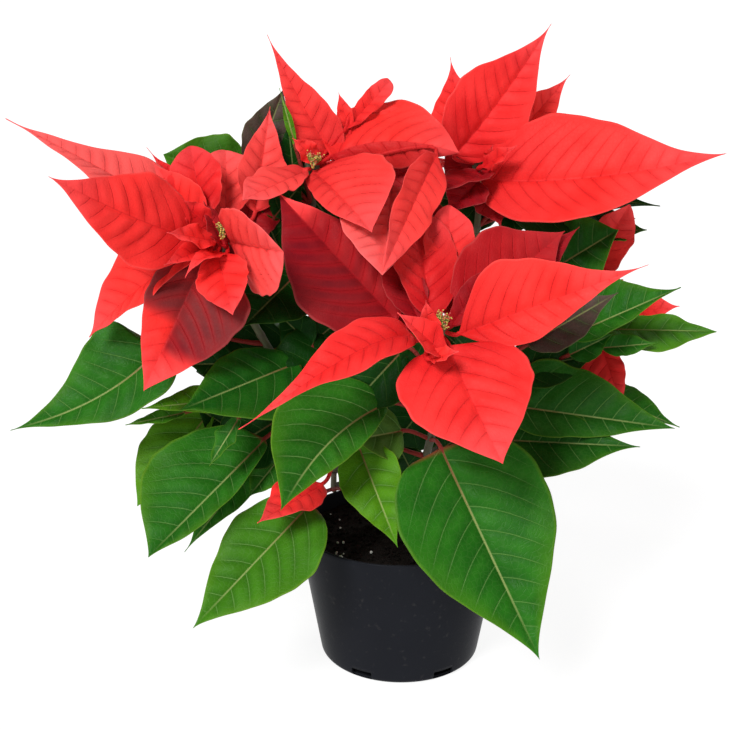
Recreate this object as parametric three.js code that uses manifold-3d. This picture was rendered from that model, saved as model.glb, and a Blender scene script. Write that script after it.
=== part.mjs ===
// A potted poinsettia about 36 cm tall: three rooted cuttings in a black 12 cm nursery pot.
// Millimetres, +Z up, origin at the centre of the pot's flat base, the plant's front towards -Y.
//
// Every bract and leaf is one thin, folded and waved blade with its own neck or petiole. A head's
// bracts are joined to the tip of their branch, a cutting's leaves to its stem, and the small cups
// (cyathia) in the middle of a head to their receptacle. Neighbours keep a small gap.

import * as THREE from 'three';
import { mergeVertices } from 'three/addons/utils/BufferGeometryUtils.js';
import Module from 'manifold-3d';

const wasm = await Module();
wasm.setup();

// ---- Driving dimensions ----

const GAP = 0.3; // between neighbouring pieces
const PLANT_X = -2; // the plant stands this far beside the middle of its pot
const SMALLEST = 0.1; // finer steps left by joining are smoothed away

const POT_HEIGHT = 80;
const POT_TOP_RADIUS = 60;
const POT_BASE_RADIUS = 46;
const POT_WALL = 1.4;
const POT_EDGE = 4; // rounding of the lower edge
const SLOT_COUNT = 6;
const SLOT_WIDTH = 12.5;
const SLOT_HEIGHT = 6;
const SLOT_DEPTH = 14; // how far a slot's cut reaches through the wall and floor
const SLOT_TURN = 31; // degrees from the front to the first drainage slot
const SOIL_LEVEL = 72;

const STEM_FOOT = 40; // height at which the cuttings' stems end in the soil
const HOLE_PLAY = 0.5; // the plain holes in the soil are this much wider all round
const STEM_SIDES = 5;
const STEM_STEP = 15; // length of a stretch of stem
const STEM_RISE = 10; // the last stretch below a head stands upright
const PETIOLE_DROP = 12; // a petiole leaves its stem this far below its blade

const TIP_RADIUS = 5; // branch tip that carries a head's bracts
const CUP_LENGTH = 6;
const CUP_RADIUS = 2;
const SEAT_RISE = 1.6; // of the receptacle's middle over the branch tip
const CUP_SPREAD = 0.6; // sideways lean of the outer cups
const CUP_TURN = 0.4; // of the outer cups' ring, in radians

const BLADE_THICKNESS = 0.8;
const RIB_THICKNESS = 1.4; // at the midrib
const STALK_RADIUS = 1.1;
const LONG_STALK = 25; // a longer stalk has a bend halfway
const SMALL_WIDTH = 29; // a narrower blade has fewer stations
const STATIONS = [0, 0.2, 0.4, 0.6, 0.8]; // the waves' crests and troughs
const SMALL_STATIONS = [0, 0.3, 0.7];

const LEAF_GREEN = new THREE.MeshStandardMaterial({ color: 0x24602f, roughness: 0.5 });
const BRACT_RED = new THREE.MeshStandardMaterial({ color: 0xc4122c, roughness: 0.55 });
const CUP_GREEN = new THREE.MeshStandardMaterial({ color: 0xa9ad3f, roughness: 0.5 });
const POT_BLACK = new THREE.MeshStandardMaterial({ color: 0x15171a, roughness: 0.4 });
const SOIL_BROWN = new THREE.MeshStandardMaterial({ color: 0x1c1510, roughness: 1 });

// ---- Blades ----
//
// A row is [base, tip, width, face, shape]: where the blade starts and ends, how wide it is, which
// way its upper face looks, and how it differs from the plain blade below. Positions are in the
// plant's frame, which PLANT_X sets beside the pot's. `root`, in a leaf's row, is near where its
// petiole leaves the stem.

const PLAIN_BLADE = {
  belly: 0.4, // where it is widest, from base (0) to tip (1)
  heel: 0.6, // how quickly it widens from its base: small is blunt
  point: 1.8, // how slender its tip is
  bow: 0, // how far the middle lifts towards the face
  peak: 0.45, // where the bow and the swing are greatest
  swing: 0, // how far the middle bends sideways
  fold: 14, // degrees that each half rises from the midrib
  lop: 0, // how much wider the right half is than the left
  cup: 0, // how much the margins curl up
  twist: 0, // degrees of turn along the blade
  wave: 1, // height of the margin's waves
};
const WAVES = 2.5; // along each margin

const LEFT_BRACTS = [
  [[-107, -43, 255], [-168, -82, 292], 48, [-0.2, -0.85, 0.5], { belly: 0.33, point: 1.9, swing: -2, fold: 8 }],
  [[-103, -20, 257], [-208, -5, 312], 42, [0.15, -0.45, 0.9], { belly: 0.3, point: 2.3, swing: 1, fold: 12 }],
  [[-112, -5, 268], [-137, 10, 295], 16, [0, -1, 0.2], { belly: 0.3, point: 3 }],
  [[-103, -27, 261], [-110, -10, 298], 30, [-0.1, -1, 0.3], { belly: 0.55, point: 0.8 }],
  [[-102, -30, 257], [-130, -14, 290], 26, [-0.3, -1, 0.3]],
  [[-92, -18, 261], [-93, 4, 294], 32, [0.1, -1, 0.2], { belly: 0.6, point: 0.7 }],
  [[-77, -10, 263], [-69, 6, 317], 27, [0.3, -1, 0], { belly: 0.36, point: 1.7 }],
  [[-87, -36, 251], [-58, -80, 255], 46, [-0.75, -0.57, -0.32], { belly: 0.5, heel: 0.4, point: 0.7 }],
  [[-94, -43, 246], [-84, -72, 222], 28, [-0.1, -0.85, 0.5], { belly: 0.45, heel: 0.5, point: 1.3 }],
  [[-106, -40, 247], [-165, -34, 200], 38, [-0.5, -0.65, 0.6], { belly: 0.42, heel: 0.5, point: 1.5, bow: 5, lop: 0.3 }],
  [[-102, -40, 242], [-131, -68, 181], 56, [-0.1, -0.95, 0.25], { belly: 0.25, heel: 0.45, point: 1.25, lop: -0.28 }],
  [[-98, -14, 248], [-136, 2, 254], 30, [0, -1, 0.1], { point: 1.2 }],
  [[-95, -14, 256], [-101, 5, 286], 30, [0, -1, 0.3], { point: 1.2 }],
  [[-89, -14, 254], [-62, 0, 273], 28, [0, -1, 0.1], { point: 1.2 }],
  [[-99, -22, 244], [-123, -20, 217], 26, [0, -1, 0.1], { point: 1.2 }],
  [[-98, -20, 250], [-152, 28, 248], 34, [-0.2, 0.4, 0.9]],
  [[-94, -18, 250], [-122, 48, 228], 36, [-0.2, 0.5, 0.8], { bow: 5 }],
  [[-86, -20, 250], [-80, 44, 238], 34, [0.1, 0.5, 0.8], { bow: 4 }],
];

const TOP_BRACTS = [
  [[-46, 4, 282], [-15, -58, 261], 44, [0.15, -0.9, 0.4], { belly: 0.5, heel: 0.5, point: 1.3, bow: 3, fold: 10, lop: -0.45 }],
  [[19, -4, 291], [-10, -74, 244], 25, [0.5, -0.75, 0.4], { belly: 0.35, heel: 0.5, point: 1.1 }],
  [[-3, -6, 276], [-10, -71, 243], 44, [0, -0.5, 0.85], { belly: 0.48, heel: 0.5, point: 1, fold: 28 }],
  [[-37, 8, 290], [32, 0, 293], 52, [0, -0.85, 0.5], { belly: 0.42, heel: 0.4, point: 1.2, swing: -8, fold: -28, lop: -0.42 }],
  [[-29, 18, 304], [-4, 40, 328], 12, [0, -1, 0.3], { belly: 0.7, point: 0.5 }],
  [[-27, 20, 303], [-33, 24, 323], 9, [0, -1, 0.2]],
  [[-21, 22, 300], [13, 34, 314], 16, [0, -0.8, 0.6]],
  [[-36, 14, 288], [-70.5, 14, 354], 29, [0.35, -0.95, 0], { belly: 0.22, heel: 0.45, point: 2.4, peak: 0.6, swing: -3 }],
  [[-50, 0, 284], [-81, -40, 274], 24, [-0.2, -0.75, 0.6], { belly: 0.6, point: 1.2 }],
  [[-54, 14, 279], [-110, 68, 272], 34, [-0.2, 0.4, 0.9], { bow: 3 }],
  [[-50, 18, 279], [-76, 98, 262], 38, [-0.1, 0.5, 0.8], { bow: 6 }],
  [[-44, 18, 279], [-32, 104, 272], 32, [0.1, 0.5, 0.9], { bow: 4 }],
  [[-40, 15, 279], [14, 78, 268], 30, [0.2, 0.4, 0.9]],
];

const FRONT_BRACTS = [
  [[6, -76, 210], [-79, -112, 176], 30, [-0.2, -0.65, 0.75], { belly: 0.25, point: 2.6, bow: 14, peak: 0.3 }],
  [[23, -80, 208], [46, -126, 164], 68, [0.1, -0.8, 0.55], { belly: 0.24, heel: 0.45, point: 1.5, swing: 1, fold: 6 }],
  [[28, -72, 212], [118, -84, 250], 44, [0.1, -0.92, 0.4], { belly: 0.32, heel: 1.1, point: 2.3, lop: -0.25 }],
  [[20, -90, 207], [-3, -94, 229], 20, [0.3, -0.6, 0.7], { cup: 0.3, lop: -0.2 }],
  [[13, -83, 211], [11, -86, 233], 12, [0.2, -1, 0.2]],
  [[13, -94, 206], [26, -102, 212], 10, [0, -0.6, 0.8]],
  [[15, -64, 219], [8, -22, 265], 36, [0.25, -1, 0], { belly: 0.6, heel: 0.5, point: 0.7 }],
  [[9, -64, 217], [-7, -38, 247], 22, [0.3, -1, 0], { belly: 0.5, point: 0.9 }],
  [[-2, -44, 212], [-63, -30, 276], 52, [0.1, -0.95, 0.35], { belly: 0.4, heel: 0.45, point: 1.3, lop: -0.3 }],
  [[30, -60, 217], [78, -28, 259], 46, [-0.2, -0.9, 0.4], { belly: 0.55, heel: 0.5, point: 1.3, lop: -0.2 }],
  [[24, -58, 218], [26, -18, 268], 28, [0, -1, 0.1], { belly: 0.6, point: 0.8 }],
  [[35, -58, 217], [95, -20, 257], 30, [0, -0.9, 0.4]],
  [[25, -66, 215], [48, -62, 247], 15, [-0.4, -0.95, 0], { belly: 0.5 }],
];

const RIGHT_BRACTS = [
  [[32, 32, 288], [82, 38, 358], 48, [0.2, -1, 0.1], { belly: 0.36, heel: 0.42, point: 2.1, lop: -0.15 }],
  [[39, 44, 302], [30, 60, 340], 22, [-0.2, -1, 0.2], { belly: 0.5, point: 1.8 }],
  [[61, 46, 289], [100, 66, 330], 26, [0.2, -1, 0.2], { point: 2.2 }],
  [[48, 28, 274], [169, -10, 293], 64, [0.1, -0.8, 0.6], { belly: 0.34, heel: 0.45, point: 1.7, swing: 5, lop: -0.15 }],
  [[44, 20, 275], [26, 0, 261], 26, [-0.2, -0.8, 0.4]],
  [[49, 27, 269], [57, 13, 251], 22, [0.1, -0.9, 0.3]],
  [[51, 28, 279], [20, -6, 273], 26, [-0.2, -0.3, 0.9]],
  [[50, 48, 277], [72, 122, 268], 36, [0.1, 0.5, 0.8], { bow: 5 }],
  [[54, 45, 277], [112, 100, 262], 38, [0.2, 0.4, 0.8], { bow: 4 }],
  [[42, 47, 277], [20, 106, 268], 32, [-0.1, 0.5, 0.8], { bow: 4 }],
];

const OUTER_BRACTS = [
  [[124, 56, 204], [134, 26, 262], 28, [0.1, -1, 0.2]],
  [[131, 54, 191], [166, 40, 199], 26, [0.1, -0.8, 0.6]],
  [[115, 18, 186], [128, 6, 149], 30, [-0.2, -0.95, 0.2], { belly: 0.45, heel: 0.8, point: 1.2, lop: 0.4 }],
  [[123, 68, 197], [132, 122, 204], 32, [0.1, 0.5, 0.8]],
  [[114, 66, 197], [88, 118, 203], 30, [-0.2, 0.5, 0.8]],
  [[112, 60, 198], [84, 60, 212], 22, [0, 0, 1]],
];

const BACK_BRACTS = [
  [[-4, 82, 238], [54, 62, 258], 26, [0, -0.4, 0.9]],
  [[-22, 86, 236], [-84, 98, 228], 32, [-0.2, 0.1, 1]],
  [[-20, 92, 236], [-62, 150, 226], 36, [-0.3, 0.4, 0.85], { bow: 5 }],
  [[-14, 94, 236], [-12, 172, 220], 40, [0, 0.5, 0.85], { bow: 7 }],
  [[-8, 92, 236], [50, 142, 228], 36, [0.3, 0.4, 0.85], { bow: 5 }],
  [[-20, 88, 240], [-50, 116, 262], 24, [0.2, -0.1, 1]],
  [[-9, 90, 240], [24, 126, 262], 24, [-0.2, -0.2, 1]],
  [[-15, 91, 240], [-18, 112, 276], 20, [0, -0.6, 0.7]],
  [[-12, 80, 240], [6, 52, 258], 20, [0, 0, 1]],
];

const LOW_BRACTS = [
  [[-42, -40, 119], [-74, -80, 114], 28, [-0.2, -0.6, 0.75]],
];

const LEFT_LEAVES = [
  [[-119, -20, 192], [-206, -40, 153], 60, [-0.25, -0.85, 0.5], { belly: 0.22, heel: 0.4, point: 1.9, lop: -0.05, root: [-75, -10, 196] }],
  [[-87, -20, 162], [-136, -50, 166], 20, [-0.1, -0.6, 0.8]],
  [[-54, -32, 186], [-112, -78, 174], 50, [-0.1, -0.7, 0.6], { belly: 0.45, point: 1.7, lop: -0.25 }],
  [[-60, -12, 190], [-110, -24, 178], 44, [0, -0.9, 0.4], { point: 1 }],
  [[-73, -35, 143], [-130, -85, 97], 46, [-0.3, -0.75, 0.6], { belly: 0.55, heel: 0.5, point: 1.3, lop: 0.45 }],
  [[-103, -5, 153], [-145, -30, 102], 40, [-0.3, -0.7, 0.5], { point: 1.2, lop: 0.3 }],
  [[-73, -8, 130], [-120, -30, 74], 34, [-0.2, -0.8, 0.4], { point: 2.2 }],
  [[-62, -30, 135], [-82, -45, 113], 24, [-0.2, -0.8, 0.4]],
  [[-48, -45, 110], [-108, -90, 59], 54, [-0.1, -0.7, 0.7], { belly: 0.36, heel: 0.45, point: 1.5, lop: -0.25, root: [-24, 0, 100] }],
  [[-58, -6, 226], [-82, -42, 208], 46, [0, -0.8, 0.6], { belly: 0.5 }],
  [[-83, 9, 272], [-128, 10, 291], 46, [0, -1, 0.4], { point: 1.2, root: [-49, 8, 250] }],
  [[-80, 10, 282], [-63, 16, 326], 30, [0.2, -1, 0.2], { point: 1.4 }],
  [[-57, 8, 277], [-60, 9, 309], 15, [0, -1, 0.2]],
  [[-47, -25, 193], [-66, -22, 211], 22, [0, -1, 0.3]],
  [[-27, -22, 189], [-78, -50, 172], 46, [0, -0.7, 0.6]],
  [[-30, 18, 244], [-58, 10, 280], 44, [0, -0.9, 0.4]],
  [[-66, -22, 150], [-100, -34, 132], 42, [0, -0.9, 0.4], { point: 1.2 }],
  [[-70, 50, 180], [-112, 110, 165], 42, [-0.2, 0.4, 0.9], { bow: 5 }],
  [[-32, 62, 118], [-52, 112, 88], 44, [-0.1, 0.6, 0.8], { bow: 6 }],
  [[-60, 35, 140], [-97, 82, 118], 42, [-0.2, 0.5, 0.8], { bow: 6 }],
];

const FRONT_LEAVES = [
  [[-7, -55, 170], [-59, -118, 137], 48, [0, -0.75, 0.6], { belly: 0.42, point: 1.5, swing: 7, lop: 0.4 }],
  [[-22, -50, 145], [-2, -95, 107], 34, [-0.1, -0.9, 0.4], { belly: 0.3, point: 1.5 }],
  [[1, -46, 152], [-26, -58, 151], 34, [0, -0.8, 0.6]],
  [[21, -62, 148], [69, -115, 55], 82, [0.1, -0.85, 0.5], { belly: 0.35, heel: 0.32, point: 1.35, lop: 0.06, root: [3, -40, 155] }],
  [[1, -48, 197], [-30, -52, 163], 38, [0, -0.8, 0.5]],
  [[9, -33, 120], [-2, -36, 143], 22, [0, -1, 0.3]],
  [[56, -28, 172], [26, -50, 207], 32, [0, -0.9, 0.4]],
  [[68, -30, 195], [113, -40, 226], 30, [0.1, -0.7, 0.7]],
];

const BACK_LEAVES = [
  [[68, 50, 266], [151, 40, 258], 34, [0.1, -0.7, 0.7], { belly: 0.35, point: 2 }],
  [[92, 34, 224], [127, 14, 249], 42, [0.1, -0.8, 0.6], { belly: 0.5, point: 1.4 }],
  [[96, 10, 189], [156, -10, 220], 36, [0, -0.6, 0.8], { belly: 0.3, point: 2, lop: -0.35 }],
  [[120, 38, 186], [182, 16, 190], 32, [0.1, -0.6, 0.8], { belly: 0.48, point: 1.4, lop: 0.35 }],
  [[117, 44, 146], [170, 34, 126], 20, [0.1, -0.6, 0.8]],
  [[60, -8, 154], [151, -28, 147], 46, [0.1, -0.8, 0.6], { belly: 0.25, heel: 0.45, point: 1.5, lop: -0.25 }],
  [[52, -12, 135], [126, -35, 139], 46, [0.1, -0.7, 0.7], { belly: 0.35, lop: 0.15 }],
  [[60, -2, 171], [115, 6, 180], 34, [0, -0.7, 0.7]],
  [[1, 34, 242], [-2, 27, 292], 32, [0, -0.9, 0.4]],
  [[62, 42, 258], [138, 44, 250], 40, [0, -0.8, 0.6], { belly: 0.3 }],
  [[60, 52, 252], [18, 44, 264], 32, [0, -0.9, 0.4]],
  [[22, 0, 160], [-6, 4, 120], 40, [0, -0.9, 0.3], { point: 1.2 }],
  [[-30, 95, 160], [-62, 150, 148], 40, [-0.1, 0.4, 0.9], { bow: 5 }],
  [[0, 100, 158], [10, 168, 138], 44, [0, 0.4, 0.9], { bow: 6 }],
  [[45, 85, 165], [82, 150, 150], 42, [0.1, 0.4, 0.9], { bow: 5 }],
  [[90, 70, 160], [122, 126, 150], 38, [0.1, 0.4, 0.9], { bow: 5 }],
  [[-30, 85, 200], [-42, 142, 190], 38, [-0.1, 0.3, 0.9], { bow: 4 }],
  [[35, 90, 205], [46, 152, 195], 38, [0, 0.3, 0.9], { bow: 4 }],
  [[25, 62, 118], [42, 122, 84], 46, [0.1, 0.6, 0.8], { bow: 6 }],
  [[60, 50, 130], [97, 90, 104], 42, [0.2, 0.5, 0.8], { bow: 6 }],
];

// ---- Heads and stems ----
//
// A head has its branch tip's centre, the way its cups face, how many there are, and its bracts.

const HEADS = {
  left: { at: [-91, -30, 254], facing: [0, -0.9, 0.45], cups: 4, bracts: LEFT_BRACTS },
  top: { at: [-47, 10, 283], facing: [0.1, -0.8, 0.6], cups: 4, bracts: TOP_BRACTS },
  front: { at: [17, -70, 214], facing: [0.2, -0.75, 0.65], cups: 5, bracts: FRONT_BRACTS },
  right: { at: [47, 40, 281], facing: [0.25, 0.5, 0.85], cups: 3, bracts: RIGHT_BRACTS },
  outer: { at: [120, 60, 200], facing: [-0.3, 0.35, 0.9], cups: 3, bracts: OUTER_BRACTS },
  back: { at: [-15, 85, 238], facing: [0, 0, 1], cups: 3, bracts: BACK_BRACTS },
  low: { at: [-36, -16, 122], facing: [-0.5, -0.3, 0.8], cups: 0, bracts: LOW_BRACTS },
};

// A stem has its points, its radius at both ends, and the head that its last stretch runs up to.
const CUTTINGS = {
  left: {
    leaves: LEFT_LEAVES,
    stems: [
      {
        points: [[-7, 5, STEM_FOOT], [-7, 5, 74], [-9, 4, 82], [-18, 2, 94], [-33, -5, 115]],
        radii: [3.2, 2.8],
      },
      { points: [[-33, -5, 115], [-60, -18, 170], [-86, -28, 222]], radii: [2.6, 1.8], head: 'left' },
      { points: [[-33, -5, 115], [-46, 2, 180], [-49, 8, 240]], radii: [2.6, 1.8], head: 'top' },
      { points: [[-24, -1, 102], [-34, -11, 107]], radii: [2, 1.6], head: 'low' },
    ],
  },
  front: {
    leaves: FRONT_LEAVES,
    stems: [
      {
        points: [[12, -10, STEM_FOOT], [12, -10, 72], [12, -11, 81], [13, -28, 120], [19, -52, 165]],
        radii: [2.8, 1.8],
        head: 'front',
      },
    ],
  },
  back: {
    leaves: BACK_LEAVES,
    stems: [
      {
        points: [[6, 14, STEM_FOOT], [6, 14, 72], [7, 15, 80], [16, 20, 98], [30, 26, 130]],
        radii: [3, 2.6],
      },
      { points: [[30, 26, 130], [42, 34, 200]], radii: [2.4, 1.8], head: 'right' },
      { points: [[30, 26, 130], [66, 42, 158]], radii: [2.2, 1.7], head: 'outer' },
      { points: [[16, 20, 98], [4, 50, 150], [-12, 76, 200]], radii: [2.4, 1.8], head: 'back' },
    ],
  },
};

// ---- Solids ----

const vector = (xyz) => new THREE.Vector3(...xyz);

// A closed skin over rings of points, with a single point closing each end. Both faces of a blade
// are split along the same diagonals, so that they never cross where it waves.
function skin(first, rings, last) {
  const size = rings[0].length;
  const points = [first, ...rings.flat(), last];
  const at = (ring, j) => 1 + ring * size + (j % size);
  const faces = [];
  for (let j = 0; j < size; j++) {
    faces.push(0, at(0, j + 1), at(0, j));
    faces.push(points.length - 1, at(rings.length - 1, j), at(rings.length - 1, j + 1));
    for (let ring = 0; ring + 1 < rings.length; ring++) {
      const [a, b] = [at(ring, j), at(ring, j + 1)];
      const [c, d] = [at(ring + 1, j + 1), at(ring + 1, j)];
      faces.push(...(j < size / 2 ? [a, b, c, a, c, d] : [a, b, d, b, c, d]));
    }
  }
  const vertProperties = new Float32Array(points.flatMap((p) => p.toArray()));
  return new wasm.Manifold(
    new wasm.Mesh({ numProp: 3, vertProperties, triVerts: new Uint32Array(faces) }),
  );
}

// A three.js geometry as a solid.
function solidOf(geometry) {
  const bare = new THREE.BufferGeometry().setAttribute('position', geometry.getAttribute('position'));
  bare.setIndex(geometry.index);
  const { index, attributes } = mergeVertices(bare, 1e-3);
  return new wasm.Manifold(
    new wasm.Mesh({
      numProp: 3,
      vertProperties: attributes.position.array,
      triVerts: new Uint32Array(index.array),
    }),
  );
}

// All solids joined in one; a scrap that touches nothing or a sealed hollow is dropped.
function joined(solids) {
  const bodies = solids.reduce((whole, next) => whole.add(next)).decompose();
  bodies.sort((a, b) => b.volume() - a.volume());
  return bodies[0].simplify(SMALLEST);
}

function mesh(name, solid, material) {
  const { vertProperties, triVerts } = solid.getMesh();
  const geometry = new THREE.BufferGeometry();
  geometry.setAttribute('position', new THREE.BufferAttribute(vertProperties, 3));
  geometry.setIndex(new THREE.BufferAttribute(triVerts, 1));
  geometry.computeVertexNormals();
  const made = new THREE.Mesh(geometry, material);
  made.name = name;
  return made;
}

// 0 at both ends of a blade and 1 at its peak.
function hump(u, peak) {
  return (u / peak) ** (2 * peak) * ((1 - u) / (1 - peak)) ** (2 - 2 * peak);
}

// A blade's width at u, as a part of its greatest width.
function outline(u, { belly, heel, point }) {
  if (u < belly) return (1 - (1 - u / belly) ** 2) ** heel;
  const past = (u - belly) / (1 - belly);
  return (1 - past) ** point * (1 + point * past);
}

// The part of a direction that is square to the axis, at length 1.
function square(direction, axis) {
  return direction.clone().addScaledVector(axis, -direction.dot(axis)).normalize();
}

// Six points round a place in a blade or its stalk: three on the upper face, three below. `fill`
// is the outline's value there, which the waves fade with.
function section(middle, across, lift, half, shape, u, fill) {
  const fold = THREE.MathUtils.degToRad(shape.fold);
  const top = [];
  const bottom = [];
  for (const side of [-1, 0, 1]) {
    const reach = half * (1 + shape.lop * side);
    const wave = shape.wave * Math.sin(2 * Math.PI * (WAVES * u + 0.25 * side)) * Math.sqrt(fill);
    const rise = side === 0 ? 0 : reach * (Math.sin(fold) + shape.cup) + wave;
    const point = middle
      .clone()
      .addScaledVector(across, side * reach * Math.cos(fold))
      .addScaledVector(lift, rise);
    const thickness = side === 0 ? RIB_THICKNESS : BLADE_THICKNESS;
    top.push(point.clone().addScaledVector(lift, thickness / 2));
    bottom.unshift(point.addScaledVector(lift, -thickness / 2));
  }
  return [...top, ...bottom];
}

// A blade with its stalk, from the root in the stem or branch tip to the blade's own tip.
function blade(root, [base, tip, width, face, changes = {}]) {
  const shape = { ...PLAIN_BLADE, ...changes };
  const start = vector(base);
  const along = vector(tip).sub(start);
  const length = along.length();
  along.normalize();
  const up = square(vector(face), along);
  const across = along.clone().cross(up);
  const spine = (u) =>
    start
      .clone()
      .addScaledVector(along, length * u)
      .addScaledVector(up, shape.bow * hump(u, shape.peak))
      .addScaledVector(across, shape.swing * hump(u, shape.peak));
  const heading = (u) => spine(Math.min(u + 0.02, 1)).sub(spine(Math.max(u - 0.02, 0))).normalize();

  // The stalk leaves its root straight and comes into the blade along the midrib.
  const stalk = start.clone().sub(root);
  const bend = heading(0).multiplyScalar(-stalk.length() / 8);
  const halfway = root.clone().add(start).multiplyScalar(0.5).add(bend);
  const lean = stalk.clone().normalize();
  const stalkUp = square(up, lean);
  const stalkAcross = lean.clone().cross(stalkUp);
  const flat = { ...shape, fold: 0, cup: 0, lop: 0 };
  const middles = stalk.length() > LONG_STALK ? [root, halfway] : [root];
  const rings = middles.map((at) => section(at, stalkAcross, stalkUp, STALK_RADIUS, flat, 0, 0));

  for (const u of width < SMALL_WIDTH ? SMALL_STATIONS : STATIONS) {
    const normal = square(up, heading(u));
    const side = heading(u).cross(normal);
    const turn = THREE.MathUtils.degToRad(shape.twist) * (u - 0.35);
    const lift = normal.clone().multiplyScalar(Math.cos(turn)).addScaledVector(side, Math.sin(turn));
    const span = side.multiplyScalar(Math.cos(turn)).addScaledVector(normal, -Math.sin(turn));
    const fill = outline(u, shape);
    const half = Math.max((width / 2) * fill, STALK_RADIUS);
    rings.push(section(spine(u), span, lift, half, u > 0 ? shape : flat, u, fill));
  }
  return skin(root, rings, vector(tip));
}

// Points of a stem's middle line, all its points in one smooth curve.
function stemLine({ points, head }) {
  const through = points.map(vector);
  if (head) {
    const top = vector(HEADS[head].at);
    const below = TIP_RADIUS + GAP;
    for (const drop of [below + STEM_RISE, below]) {
      through.push(top.clone().setZ(top.z - drop));
    }
  }
  const curve = new THREE.CatmullRomCurve3(through, false, 'catmullrom');
  return curve.getSpacedPoints(Math.ceil(curve.getLength() / STEM_STEP));
}

function stem({ radii: [thick, thin], ...route }) {
  const line = stemLine(route);
  const rings = line.map((middle, i) => {
    const before = line[Math.max(i - 1, 0)];
    const after = line[Math.min(i + 1, line.length - 1)];
    const heading = after.clone().sub(before).normalize();
    const across = square(new THREE.Vector3(1, 0, 0), heading);
    const ahead = heading.clone().cross(across);
    const radius = THREE.MathUtils.lerp(thick, thin, i / (line.length - 1));
    return Array.from({ length: STEM_SIDES }, (_, side) => {
      const turn = (2 * Math.PI * side) / STEM_SIDES;
      return middle
        .clone()
        .addScaledVector(across, radius * Math.cos(turn))
        .addScaledVector(ahead, radius * Math.sin(turn));
    });
  });
  return skin(line[0], rings, line.at(-1));
}

// A cutting's stems with all its leaves. A petiole leaves the nearest stem a little below its blade.
function leafyStem({ stems, leaves }) {
  const lines = stems.flatMap((route) => stemLine(route).slice(0, -1));
  const places = lines.filter(({ z }) => z > SOIL_LEVEL + PETIOLE_DROP);
  const rooted = leaves.map((row) => {
    const [base, , , , { root } = {}] = row;
    const wanted = root ? vector(root) : vector(base).setZ(base[2] - PETIOLE_DROP);
    places.sort((a, b) => a.distanceTo(wanted) - b.distanceTo(wanted));
    return blade(places[0], row);
  });
  return joined([...stems.map(stem), ...rooted]);
}

// The branch tip of a head with its bracts, each rooted in the side of the tip that faces it.
function bracts({ at, bracts: rows }) {
  const core = solidOf(new THREE.IcosahedronGeometry(TIP_RADIUS, 1).translate(...at));
  const rooted = rows.map((row) => {
    const way = vector(row[0]).sub(vector(at)).normalize();
    return blade(vector(at).addScaledVector(way, TIP_RADIUS / 2), row);
  });
  return joined([core, ...rooted]);
}

// One cup on its short foot, standing up from the origin: a rounded body with an open-looking lip.
function cup() {
  const profile = [
    [0, -1],
    [CUP_RADIUS, CUP_LENGTH * 0.5],
    [CUP_RADIUS * 0.6, CUP_LENGTH],
    [0, CUP_LENGTH],
  ].map(([x, y]) => new THREE.Vector2(x, y));
  return new THREE.LatheGeometry(profile, 5).rotateX(Math.PI / 2);
}

// The cups of a head, one in the middle and the others round it, on one small receptacle.
function cyathia({ at, facing, cups }) {
  const lean = vector(facing).normalize();
  const seat = vector(at).addScaledVector(lean, TIP_RADIUS + GAP + SEAT_RISE);
  const solids = [solidOf(new THREE.IcosahedronGeometry(CUP_RADIUS, 0).translate(...seat))];
  const turnToLean = new THREE.Quaternion().setFromUnitVectors(new THREE.Vector3(0, 0, 1), lean);
  for (let i = 0; i < cups; i++) {
    const round = CUP_TURN + (2 * Math.PI * i) / (cups - 1);
    const spread = i === 0 ? 0 : CUP_SPREAD;
    const way = new THREE.Vector3(spread * Math.cos(round), spread * Math.sin(round), 1).normalize();
    const up = new THREE.Quaternion().setFromUnitVectors(new THREE.Vector3(0, 0, 1), way);
    const placed = cup().applyQuaternion(up).applyQuaternion(turnToLean).translate(...seat);
    solids.push(solidOf(placed));
  }
  return joined(solids);
}

// ---- Pot and soil ----

const flare = (z) => POT_BASE_RADIUS + ((POT_TOP_RADIUS - POT_BASE_RADIUS) * z) / POT_HEIGHT;

function lathe(profile, sides) {
  const points = profile.map(([x, y]) => new THREE.Vector2(x, y));
  return solidOf(new THREE.LatheGeometry(points, sides).rotateX(Math.PI / 2));
}

function pot() {
  const shell = lathe(
    [
      [0, 0],
      [POT_BASE_RADIUS - POT_EDGE, 0],
      [flare(0) - POT_EDGE * 0.3, POT_EDGE * 0.3],
      [flare(POT_EDGE), POT_EDGE],
      [POT_TOP_RADIUS, POT_HEIGHT],
      [POT_TOP_RADIUS - POT_WALL, POT_HEIGHT],
      [flare(POT_EDGE) - POT_WALL, POT_EDGE],
      [POT_BASE_RADIUS - POT_EDGE, POT_WALL],
      [0, POT_WALL],
    ],
    40,
  );
  const slots = Array.from({ length: SLOT_COUNT }, (_, i) => {
    const turn = THREE.MathUtils.degToRad(SLOT_TURN - 90) + (2 * Math.PI * i) / SLOT_COUNT;
    const cutter = new THREE.BoxGeometry(SLOT_DEPTH, SLOT_WIDTH, 2 * SLOT_HEIGHT);
    return solidOf(cutter.translate(POT_BASE_RADIUS, 0, 0).rotateZ(turn));
  });
  return slots.reduce((left, slot) => left.subtract(slot), shell);
}

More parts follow.
